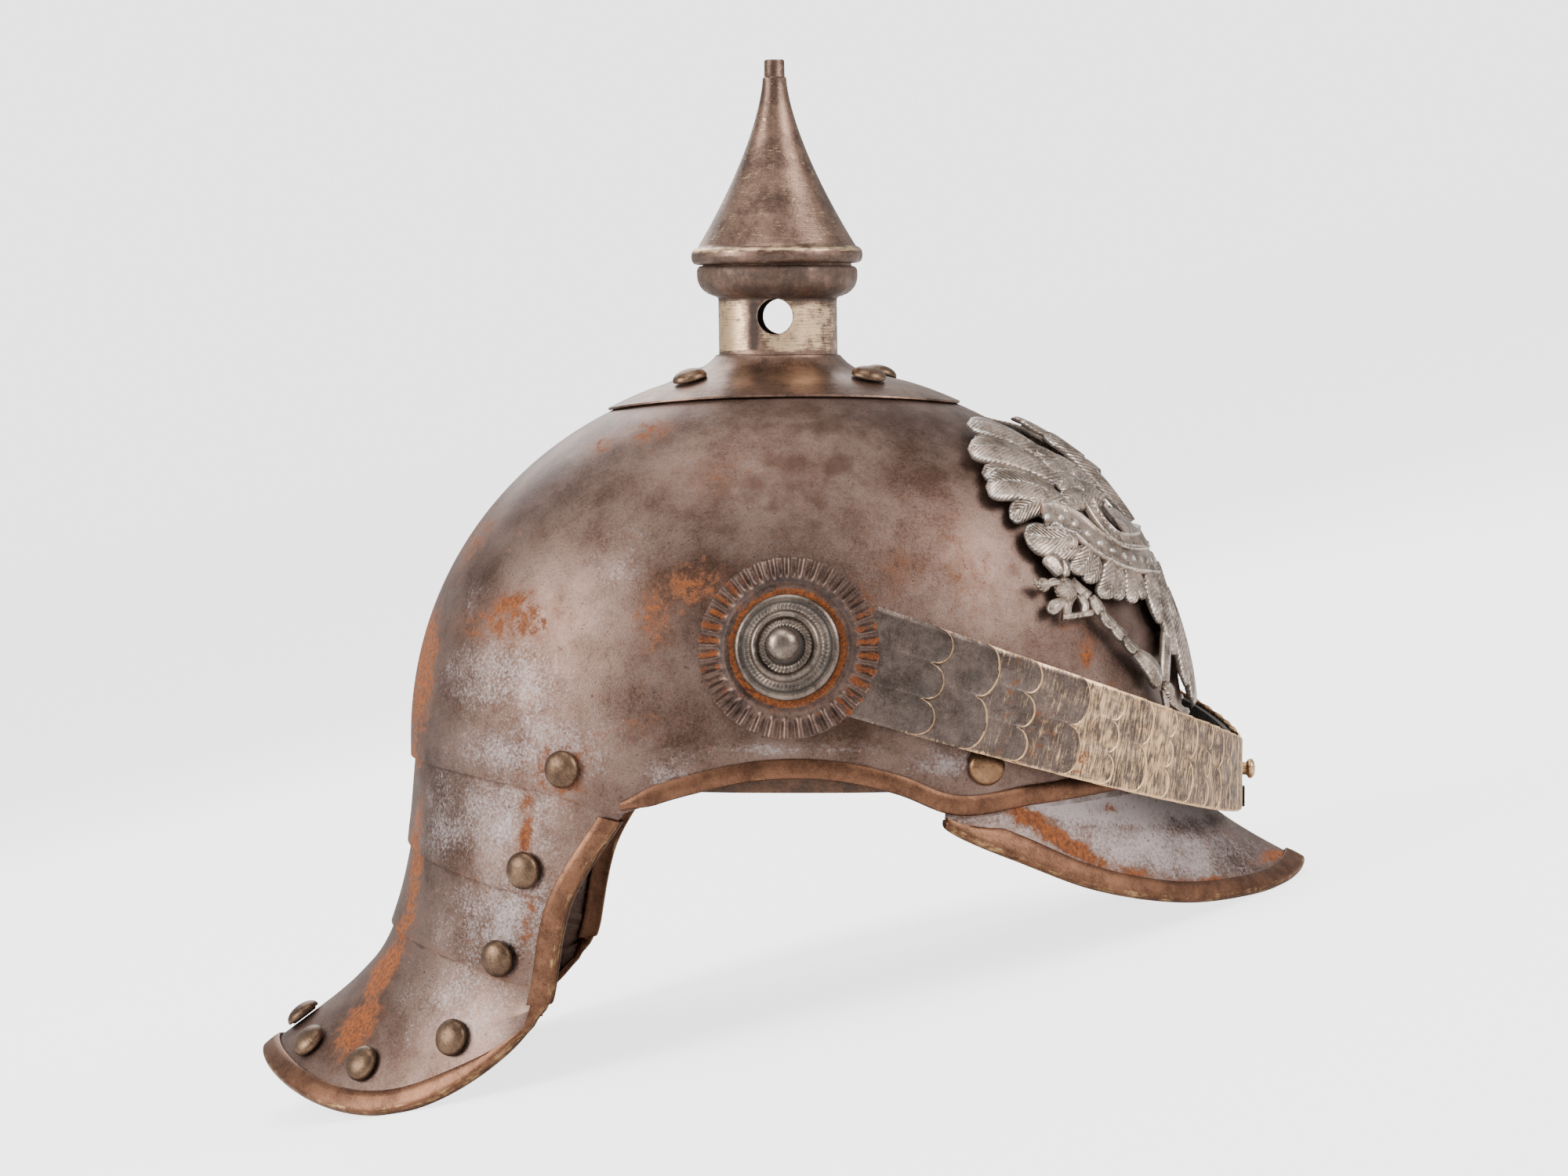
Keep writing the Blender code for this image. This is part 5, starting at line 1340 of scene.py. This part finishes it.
def makeStraps():
    # Leather backing, then scales laid like tiles, each with a lobed front edge over the next one's back.
    sizes = strapSizes
    across, share = np.meshgrid(np.linspace(-0.46, 0.46, 9), np.linspace(-1, 1, 160))
    points, normals = strapPoint(share, across)
    makePiece("strapLeather", [sheetBlock(points, normals, sizes["leatherWall"], 0)],
              finishes["blackLeather"], ["strap_leather"])
    base = sizes["leatherWall"] + gap
    halfLength = sizes["reach"] * sizes["endAngle"]
    across = np.linspace(-0.5, 0.5, 61)
    for side, hand in ((-1, "right"), (1, "left")):
        blocks = []
        start = 1.0
        for number, edge in enumerate(sizes["edges"]):
            last = number == len(sizes["edges"]) - 1
            lobes = 2 if number % 2 else 3
            phase = (across + 0.5) * lobes % 1.0
            phase[-1] = 1.0
            width = sizes["frontWidth"] + sizes["widening"] * edge
            depth = min(0.36 * width / lobes + 1.2, 5.6)
            lobe = depth * (np.sqrt(np.clip(1 - (2 * phase - 1) ** 2, 0, 1)) - 0.75)
            if last:
                lobe = 0 * lobe
            rows = np.concatenate([[0, 0.15, 0.3, 0.45, 0.6, 0.72, 0.82, 0.9],
                                   1 - np.array((0.06, 0.045, 0.03, 0.015, 0.0))])
            front = edge - lobe / halfLength
            back = start + (0 if number == 0 else 5.5 / halfLength)
            share = back + (front - back)[None, :] * rows[:, None]
            toEdge = (share - front[None, :]) * halfLength
            points, normals = strapPoint(share * side, np.broadcast_to(across, share.shape))
            rim = smooth(-toEdge, -sizes["rimWidth"], 0)
            sides = smooth(np.abs(across), 0.465, 0.5)[None, :]
            lift = base + sizes["scaleStep"] * rows[:, None] ** 1.5
            roll = 0.16 * np.sin(math.pi * np.clip(rim, 0, 1)) - 0.35 * smooth(rim, 0.8, 1) - 0.4 * sides
            outer = lift + sizes["scaleWall"] + roll
            forward = 1 - edge
            alternate = 0.12 * (number % 2 == 0) * (0.25 < forward < 0.6)
            gold = np.clip(-0.28 + 1.85 * forward, -0.3, 0.55) + alternate
            marks = np.zeros(points.shape)
            bright = np.where(rim > 0.15, 1.3, 0) * (1 - 0.3 * smooth(rim, 0.9, 1.0))
            marks[..., 1] = gold + bright + 0.5 * sides
            if number == 2:
                marks[..., 0] = 0.5 * bell(toEdge, 8, 3)
            if number in (3, 4):
                marks[..., 0] = 0.42 * smooth(toEdge, 4, 9) * (across < 0.1)
            marks[..., 2] = 0.5 * smooth(toEdge, 0, 3) * (1 - smooth(toEdge, 9, 13)) * (forward < 0.35)
            marks[..., 2] += 0.7 * bell(toEdge, 1.5, 0.35) * (0.5 + 0.5 * (forward > 0.3))
            flow = np.stack(np.broadcast_arrays(share * halfLength + number * 31.0, across * width,
                                                share * 0), axis=-1)
            blocks.append(sheetBlock(points, normals, outer, lift, False, marks, flow))
            start = edge
        makePiece(f"strapScales{hand.capitalize()}", blocks, finishes["scale"], [f"strap_scales_{hand}"],
                  50)


buckleSizes = {"halfWidth": 6.0, "share": 0.62, "wall": 1.2, "tabWall": 1.2}


def makeBuckle():
    # A folded plate where the halves meet, a turned hook on it, and a short dark tab below the hook.
    base = strapSizes["leatherWall"] + gap
    wall = buckleSizes["wall"]
    reach = buckleSizes["halfWidth"] / (strapSizes["reach"] * strapSizes["endAngle"])
    across, share = np.meshgrid(np.linspace(-0.46, 0.46, 9),
                                np.linspace(-reach, reach, 9) * buckleSizes["share"])
    points, normals = strapPoint(share, across)
    edge = 0.35 * smooth(np.abs(across), 0.4, 0.46)
    block = sheetBlock(points, normals, base + wall - edge, base)
    makePiece("strapBuckle", [block], finishes["scale"], ["strap_buckle"])
    high = base + wall + gap
    point, normal = strapPoint(0, 0.05)
    profile = [(0, 0), (1.9, 0), (2.1, 0.2), (2.0, 1.4), (2.2, 1.8), (3.0, 2.3), (3.2, 2.9), (3.0, 3.6),
               (2.2, 4.2), (1.1, 4.45), (0, 4.5)]
    block = turnedBlock(profile, 36, point + normal * high, normal, [(0, 0.9, 0)] * len(profile))
    makePiece("strapHook", [block], finishes["scale"], ["strap_hook"])
    across, share = np.meshgrid(np.linspace(-0.48, -0.2, 9), np.linspace(-0.4, 0.4, 7) * reach)
    points, normals = strapPoint(share, across)
    block = sheetBlock(points, normals, high + buckleSizes["tabWall"], high)
    makePiece("strapTab", [block], finishes["blackSteel"], ["strap_tab"])


makeStraps()
makeBuckle()
print("straps made")

# Relief eagle: flat places are millimetres across from the middle and up round the front

eagleSizes = {"standOff": 2.6, "wall": 1.0, "radius": 124.0, "farLift": 3.2, "postRadius": 2.2,
              "postHeight": 4.2}
wingFeathers = (
    # In this table and the next six: root across, root up, tip across, tip up, half width, bend, lift
    (35.0, 107.0, 46.5, 129.5, 4.0, 0.04, 0.1), (43.0, 100.0, 57.5, 121.0, 4.2, 0.04, 0.1),
    (48.0, 95.0, 65.0, 103.0, 4.6, 0.1, 0.1), (30.5, 103.0, 40.5, 134.0, 5.6, 0.1, 0.9),
    (38.0, 99.0, 52.5, 129.5, 6.0, 0.07, 0.9), (46.0, 93.0, 62.0, 117.0, 6.4, 0.08, 0.9),
    (50.0, 83.0, 66.5, 95.0, 6.2, -0.16, 0.8), (54.0, 78.0, 65.5, 86.5, 3.6, -0.1, 0.3),
)
coverts = (
    (25.0, 101.0, 33.0, 112.0, 3.2, 0.1, 1.6), (22.0, 95.0, 38.0, 106.0, 3.6, 0.1, 1.5),
    (24.0, 90.0, 42.0, 99.0, 3.8, 0.12, 1.5), (28.0, 86.0, 47.0, 94.0, 3.8, 0.1, 1.5),
    (20.0, 91.0, 29.0, 98.0, 3.6, 0.2, 2.0), (24.0, 86.0, 35.0, 92.0, 3.6, 0.2, 2.0),
    (22.0, 97.0, 30.0, 105.0, 3.0, 0.2, 1.9), (27.0, 104.0, 34.0, 124.0, 2.6, -0.05, 1.4),
    (37.0, 88.0, 50.0, 93.0, 3.2, 0.1, 1.3),
)
leaves = (
    (50.0, 78.0, 61.5, 72.5, 4.2, -0.1, 0.7), (48.5, 74.0, 58.5, 67.0, 3.5, -0.1, 0.2),
    (45.0, 70.0, 57.0, 59.5, 4.2, -0.1, 0.8), (41.0, 67.0, 51.0, 56.5, 3.2, -0.08, 0.3),
    (37.0, 65.0, 45.5, 53.0, 3.6, -0.06, 0.8), (31.0, 64.0, 37.0, 52.0, 3.2, 0, 0.3),
    (24.0, 62.0, 28.0, 51.0, 3.4, 0, 0.8), (16.0, 61.0, 18.5, 50.0, 3.2, 0, 0.3),
    (8.0, 60.0, 9.0, 49.0, 3.4, 0, 0.8),
)
tailFeathers = (
    (14.0, 57.0, 33.0, 43.0, 4.6, 0.22, 0.3), (12.0, 53.0, 29.0, 31.0, 4.8, 0.16, 0.5),
    (8.0, 50.0, 20.0, 19.0, 4.6, 0.12, 0.2), (4.0, 48.0, 10.5, 12.5, 4.4, 0.06, 0.2),
    (12.0, 59.0, 26.0, 51.0, 4.0, 0.2, 0.8), (8.0, 58.0, 19.0, 42.0, 3.6, 0.12, 1.3),
)
figure = (
    (66.0, 75.0, 66.0, 84.0, 3.0, 0.1, 1.0), (64.5, 73.0, 62.5, 80.0, 2.2, 0.1, 0.6),
    (69.5, 66.0, 75.5, 64.5, 3.0, 0.1, 0.8), (66.0, 65.0, 71.0, 59.0, 1.6, 0.2, 0.8),
    (64.5, 65.0, 66.0, 57.5, 1.5, -0.2, 0.8), (68.0, 72.5, 72.5, 74.5, 1.6, 0.2, 1.3),
    (63.0, 71.0, 60.0, 62.0, 1.8, 0.1, 0.4),
)
shaft = (
    (60.5, 62.0, 59.5, 54.0, 2.3, 0, 0.8), (60.0, 55.5, 57.5, 48.0, 2.1, 0.08, 1.3),
    (58.0, 49.0, 54.5, 42.5, 2.4, 0, 0.8), (55.5, 43.5, 51.5, 36.5, 2.1, 0.08, 1.3),
    (52.5, 37.0, 43.5, 22.5, 4.0, -0.08, 0.8), (13.0, 47.0, 40.0, 23.0, 3.2, 0.1, 0.2),
    (41.5, 21.5, 36.0, 14.5, 1.9, 0.1, 1.2), (39.5, 20.0, 30.5, 12.5, 1.8, 0.15, 1.2),
    (38.0, 19.5, 24.0, 11.0, 1.7, 0.15, 1.0), (42.5, 21.0, 41.5, 13.5, 1.6, -0.1, 0.8),
)
headFeathers = (
    # Neck, head, beak and the three points of the crest, a little to the far side of the middle
    (10.5, 73.0, 12.5, 106.0, 5.2, 0.05, 0.6), (12.0, 98.0, 14.5, 113.0, 5.4, 0.1, 0.7),
    (14.0, 109.5, 4.0, 108.0, 1.9, -0.12, 0.9), (12.5, 110.0, 9.5, 120.0, 2.2, 0.1, 0.7),
    (13.5, 110.0, 14.0, 123.0, 2.4, 0.0, 0.7), (15.0, 110.0, 19.0, 119.0, 2.2, -0.1, 0.7),
)
domes = (
    # across, up, radius, height, lift
    (72.5, 75.5, 2.3, 1.9, 1.2), (67.0, 69.0, 4.2, 2.6, 0.6), (55.5, 83.0, 3.3, 1.9, 1.6),
    (39.5, 20.0, 3.4, 2.6, 0.8), (74.0, 78.2, 1.1, 0.9, 1.4), (62.0, 63.5, 1.5, 1.2, 1.2),
)
scrollLine = ((57.5, 95.0), (52.5, 91.0), (48.8, 85.5), (46.8, 79.0), (42.5, 72.0), (34.0, 66.0),
              (17.0, 61.5), (0.0, 60.0))
collarLine = ((33.0, 91.0), (36.5, 86.0), (37.5, 79.5), (34.5, 73.0), (26.0, 69.5), (13.0, 67.5),
              (0.0, 67.0))


def eagleSurface(flat):
    # A flat place is turned about the middle of the head by two angles, and the ray meets the skull there.
    def onSkull(across, up):
        swing, turn = across / skullSizes["halfWidth"], up / eagleSizes["radius"]
        x, y, z = np.cos(swing) * np.cos(turn), np.sin(swing), np.cos(swing) * np.sin(turn)
        plan = skullSizes["planFullness"]
        angle = np.arctan2(np.abs(y) ** (plan / 2), np.abs(x) ** (plan / 2))
        flatShare = (np.abs(x) ** plan + np.abs(y) ** plan) ** (1 / plan)
        fullness = skullSizes["crownFullness"] + skullSizes["sideSquareness"] * np.sin(angle) ** 2
        scale = (flatShare ** fullness + np.abs(z) ** fullness) ** (-1 / fullness)
        ahead = skullSizes["crownShift"] * (1 - flatShare * scale)
        return np.stack([skullSizes["front"] * x * scale + ahead, skullSizes["halfWidth"] * y * scale,
                         browLevel + skullSizes["crownHeight"] * z * scale], axis=-1)

    across, up = flat[..., 0], flat[..., 1]
    sideways = onSkull(across + 1, up) - onSkull(across - 1, up)
    rising = onSkull(across, up + 1) - onSkull(across, up - 1)
    return onSkull(across, up), unit(np.cross(sideways, rising))


def farLift(flat):
    # The far wing stands off more near the middle, and its tips lie close to the skull.
    across, up = flat[..., 0], flat[..., 1]
    inner = bell(up, 92, 26) * smooth(across, 4, 14) * (1 - smooth(across, 34, 62))
    return eagleSizes["farLift"] * inner - 1.6 * smooth(across, 8, 20) * smooth(up, 116, 130)


def flatFlow(flat):
    # The flat place itself as the flow, without barbs.
    return np.concatenate([flat, np.zeros(flat.shape[:2] + (1,))], axis=-1)


def reliefBlock(flat, lift, high, marks, flow=None):
    # A flat grid laid over the skull at the eagle's stand-off, as thick as its relief.
    points, normals = eagleSurface(flat)
    low = eagleSizes["standOff"] + lift + farLift(flat)
    flow = flatFlow(flat) if flow is None else flow
    return sheetBlock(points, normals, low + high, low, False, marks, flow)


def featherBlock(row, side, rows=24, columns=13, barbed=1.0):
    # A bent leaf with a domed section, a raised rib and a raised rim; its flow runs along and across it.
    rootAcross, rootUp, tipAcross, tipUp, halfWidth, bend, lift = row
    root, tip = np.array((rootAcross, rootUp)), np.array((tipAcross, tipUp))
    length = np.linalg.norm(tip - root)
    along = np.linspace(0, 1, rows)
    reverse = np.linspace(-1, 1, columns)
    direction = (tip - root) / length
    aside = np.array((-direction[1], direction[0]))
    bow = bend * length * np.sin(math.pi * along)
    line = root + direction * (along * length)[:, None] + aside * bow[:, None]
    pinch = halfWidth / length
    tipRound = np.sqrt(np.clip(1 - np.clip((along - (1 - pinch)) / pinch, 0, 1) ** 2, 0.0009, 1))
    width = halfWidth * (0.55 + 0.45 * np.sin(np.clip(along / 0.6, 0, 1) * math.pi / 2)) * tipRound
    flat = line[:, None] + aside * (width[:, None] * reverse)[..., None]
    v = np.abs(reverse)[None, :]
    dome = (1 - v ** 2.4) * tipRound[:, None] * min(0.5 + 0.26 * halfWidth, 1.7)
    rim = 0.22 * bell(v, 0.83, 0.12) * tipRound[:, None]
    rib = 0.34 * bell(v, 0, 0.16) * (1 - along[:, None]) ** 0.4
    high = eagleSizes["wall"] * 0.5 + dome + rim + rib
    marks = np.zeros(flat.shape[:2] + (3,))
    # Painted highlight, partly rubbed metal, on the rim, the rib and towards the tip; painted shade, partly
    # dirt, along the sides, at the root and beside the rib.
    marks[..., 1] = 0.1 + 0.55 * (rim > 0.1) + 0.5 * (rib > 0.12) + 0.3 * smooth(along, 0.7, 1)[:, None]
    marks[..., 2] = 1.0 * smooth(v, 0.8, 0.95) + 0.55 * (1 - smooth(along, 0, 0.35))[:, None]
    marks[..., 2] += 0.3 * bell(v, 0.3, 0.12)
    flow = np.stack(np.broadcast_arrays((along * length)[:, None], width[:, None] * reverse, barbed),
                    axis=-1)
    return reliefBlock(flat * (side, 1), lift, high, marks, flow)


def ribbonBlock(line, halfWidth, lift, height, hatch, pellets):
    # A band along a smooth line with raised edges; its face has hatching or a row of pellets.
    line = np.array(line)
    line = np.concatenate([line, line[-2::-1] * (-1, 1)])
    place = np.linspace(0, len(line) - 1, 300)
    centre = np.stack([curveThrough(np.arange(len(line)), line[:, k], place) for k in (0, 1)], axis=-1)
    along = unit(np.gradient(centre, axis=0))
    aside = np.stack([-along[:, 1], along[:, 0]], axis=-1)
    travel = np.concatenate([[0], np.cumsum(np.linalg.norm(np.diff(centre, axis=0), axis=-1))])[:, None]
    v = np.linspace(-1, 1, 25)[None, :]
    flat = centre[:, None] + aside[:, None] * (v * halfWidth)[..., None]
    edge = 0.75 * bell(np.abs(v), 0.86, 0.11)
    face = hatch * np.sin(travel * 2.6) * (np.abs(v) < 0.72)
    spot = (travel / pellets + 0.5) % 1 - 0.5
    bump = 0.6 * np.sqrt(np.clip(1 - ((spot * pellets) ** 2 + (v * halfWidth) ** 2) / 1.3 ** 2, 0, 1))
    high = height + edge + face + (0 if hatch else bump)
    marks = np.zeros(flat.shape[:2] + (3,))
    # Painted highlight on the raised edges, the hatching and the pellets; painted shade on the face between
    # the edges and at the borders.
    marks[..., 1] = 0.9 * edge + 0.5 * np.clip(face * 3, 0, 1) + (0 if hatch else 0.7 * (bump > 0.2))
    marks[..., 2] = 0.35 * (edge < 0.2) + 0.2 * smooth(np.abs(v), 0.93, 1)
    return reliefBlock(flat, lift, high, marks)


def patchBlock(inner, outer, lift, height):
    # A plain sheet between two lines, as backing for the feathers.
    t = np.linspace(0, 1, 40)
    lines = [np.stack([np.interp(t, np.linspace(0, 1, len(line)), np.array(line)[:, k]) for k in (0, 1)],
                      axis=-1)
             for line in (inner, outer)]
    share = np.linspace(0, 1, 20)[:, None, None]
    flat = lines[0][None] * (1 - share) + lines[1][None] * share
    marks = np.zeros(flat.shape[:2] + (3,))
    # The backing is darkened all over: painted shade between the feathers.
    marks[..., 2] = 0.7
    return flat, lift, height, marks


def breastBlock():
    # An oval shield with rows of small overlapping plumes: the height is a sine of both flat directions.
    turn = np.linspace(0, 2 * math.pi, 97)[:-1]
    share = np.linspace(0.02, 1, 40)[:, None]
    flat = np.stack([18 * share * np.cos(turn), 68 + 14 * share * np.sin(turn)], axis=-1)
    plume = np.sin(flat[..., 0] * 1.5 + np.sin(flat[..., 1] * 1.1) * 1.2) * np.sin(flat[..., 1] * 1.6)
    high = 0.6 + 2.4 * (1 - share ** 2) + 0.22 * plume * (share < 0.93)
    points, normals = eagleSurface(flat)
    low = eagleSizes["standOff"] - 0.3
    marks = np.zeros(flat.shape[:2] + (3,))
    # The plumes' crests get a painted highlight and their hollows painted shade.
    marks[..., 1] = 0.3 + 0.4 * plume
    marks[..., 2] = 0.4 * np.clip(-plume, 0, 1)
    return sheetBlock(points, normals, low + high, low, True, marks, flatFlow(flat))


def makeEagle():
    # Backing, feathers, leaves, scroll, collar, head and posts, all in one piece.
    blocks = [breastBlock()]
    backing = patchBlock(((25, 84), (22, 94), (29, 106), (33, 119)),
                         ((53, 85), (57, 98), (52, 113), (42, 124)), 0.0, 0.9)
    lower = patchBlock(((48, 80), (38, 70), (20, 64), (0, 62)), ((55, 71), (48, 60), (30, 55), (0, 53)),
                       0.0, 0.9)
    for side in (-1, 1):
        for flat, lift, height, marks in (backing, lower):
            blocks.append(reliefBlock(flat * (side, 1), lift, height, marks))
        for rows in (wingFeathers, coverts, leaves, tailFeathers):
            blocks += [featherBlock(row, side) for row in rows]
        for rows in (figure, shaft):
            blocks += [featherBlock(row, side, 16, 11, 0.0) for row in rows]
        for across, up, radius, height, lift in domes:
            point, normal = eagleSurface(np.array((across * side, up)))
            blocks.append(domeBlock(radius, height, point + normal * (eagleSizes["standOff"] + lift),
                                    normal))
        for across, up, radius in ((57.5, 88.2, 3.2), (48.7, 95.3, 1.9)):
            point, normal = eagleSurface(np.array((across * side, up)))
            scroll = [(0, 0), (radius, 0), (radius, 0.9), (radius * 0.86, 1.5), (radius * 0.68, 1.3),
                      (radius * 0.55, 0.6), (radius * 0.38, 0.6), (radius * 0.3, 1.1), (0.1, 1.4), (0, 1.4)]
            seat = point + normal * (eagleSizes["standOff"] + 1.6)
            # Painted highlight on the raised rolls of the scroll end and painted shade in its hollows.
            marks = [(0, 0.15 + 0.6 * (high > 1), 0.6 * (high < 1)) for _, high in scroll]
            blocks.append(turnedBlock(scroll, 32, seat, normal, marks))
        bar = np.array(((72.8, 60.5), (68.0, 58.4), (63.0, 56.6)))
        t = np.linspace(0, 2, 16)
        centre = np.stack([np.interp(t, (0, 1, 2), bar[:, k]) for k in (0, 1)], axis=-1)
        v = np.linspace(-1, 1, 9)[None, :]
        flat = centre[:, None] + np.array((-0.35, 0.94)) * (v * 1.3)[..., None]
        high = 0.5 + 0.9 * np.sqrt(1 - v ** 2 * 0.98) + 0 * flat[..., 0]
        marks = np.zeros(flat.shape[:2] + (3,)) + (0, 0.4, 0)
        blocks.append(reliefBlock(flat * (side, 1), 0.9, high, marks))
    blocks.append(featherBlock((0.01, 50.0, 0.0, 10.0, 4.4, 0, 0.3), 1))
    blocks.append(ribbonBlock(scrollLine, 5.2, 1.6, 0.9, 0, 5.6))
    blocks.append(ribbonBlock(collarLine, 3.2, 1.9, 0.9, 0.22, 5.0))
    blocks += [featherBlock(row, 1) for row in headFeathers]
    radius, height = eagleSizes["postRadius"], eagleSizes["postHeight"]
    post = [(0, 0), (radius, 0), (radius, height), (0, height)]
    for place in ((30.0, 98.0), (-30.0, 98.0), (0.0, 30.0)):
        point, normal = eagleSurface(np.array(place))
        blocks.append(turnedBlock(post, 16, point + normal * 0.45, normal))
    makePiece("eaglePlate", blocks, finishes["eagle"], ["eagle_plate"], 50)


makeEagle()
print("eagle made")


# Stage, camera and light

stageLook = {"floorColor": (0.95, 0.95, 0.95), "floorReach": 60.0, "glow": 2.4, "skyLight": 0.55}


def seenGlow(wires, strength):
    # A glow that only the camera sees, so the pale ground doesn't change the light on the object.
    path = wires.tree.nodes.new("ShaderNodeLightPath")
    return wires.times(path.outputs["Is Camera Ray"], strength)


def makeStage():
    # A wide pale floor.
    floor, wires, shader = newMaterial("paleFloor")
    shader.inputs["Base Color"].default_value = (*stageLook["floorColor"], 1)
    shader.inputs["Roughness"].default_value = 0.9
    shader.inputs["Emission Color"].default_value = (1, 1, 1, 1)
    wires.plug(seenGlow(wires, stageLook["glow"]), shader.inputs["Emission Strength"])
    reach = stageLook["floorReach"]
    mesh = bpy.data.meshes.new("floor")
    mesh.from_pydata([(-reach, -reach, 0), (reach, -reach, 0), (reach, reach, 0), (-reach, reach, 0)], [],
                     [(0, 1, 2, 3)])
    mesh.materials.append(floor)
    ground = addObject("floor", mesh)


cameraView = {"from": (74.25, -1500, 259.25), "to": (1.75, 0, 169.25), "lens": 108}


def makeCamera():
    # The camera stands as in the picture, seen from the helmet: its up is the helmet's own up.
    data = bpy.data.cameras.new("camera")
    data.lens = cameraView["lens"]
    data.sensor_width = 36
    camera = addObject("camera", data)
    origin, target, above = stand(np.array((cameraView["from"], cameraView["to"], (0, 0, 1000))))
    up = Vector(above - stand(np.array((0, 0, 0))))
    back = Vector(origin - target).normalized()
    right = up.cross(back).normalized()
    top = back.cross(right)
    camera.matrix_world = [(right[k], top[k], back[k], origin[k]) for k in range(3)] + [(0, 0, 0, 1)]
    camera.matrix_world.transpose()
    bpy.context.scene.camera = camera


lamps = (
    # name, place, size, power, colour
    ("left", (-1.5, -0.75, 1.0), 1.2, 32, (1.0, 0.985, 0.96)),
    ("right", (1.5, -0.7, 0.9), 1.1, 20, (1.0, 0.99, 0.98)),
    ("top", (0.1, -0.2, 1.9), 1.1, 9, (1.0, 0.985, 0.965)),
    ("back", (-0.2, 1.4, 1.2), 1.3, 14, (1, 1, 1)),
)


def makeLights():
    # Disc lamps that face the helmet, and a world of one pale tone.
    for name, place, size, power, color in lamps:
        data = bpy.data.lights.new(name, "AREA")
        data.shape = "DISK"
        data.size = size
        data.energy = power
        data.color = color
        lamp = addObject(name, data)
        lamp.location = place
        lamp.rotation_euler = (Vector((0, 0, 0.13)) - Vector(place)).to_track_quat("-Z", "Y").to_euler()
    world = bpy.data.worlds.new("studio")
    world.use_nodes = True
    background = world.node_tree.nodes["Background"]
    background.inputs["Color"].default_value = (1, 1, 1, 1)
    wires = Wires(world.node_tree)
    wires.plug(wires.add(seenGlow(wires, stageLook["glow"]), stageLook["skyLight"]),
               background.inputs["Strength"])
    bpy.context.scene.world = world


makeStage()
makeCamera()
makeLights()
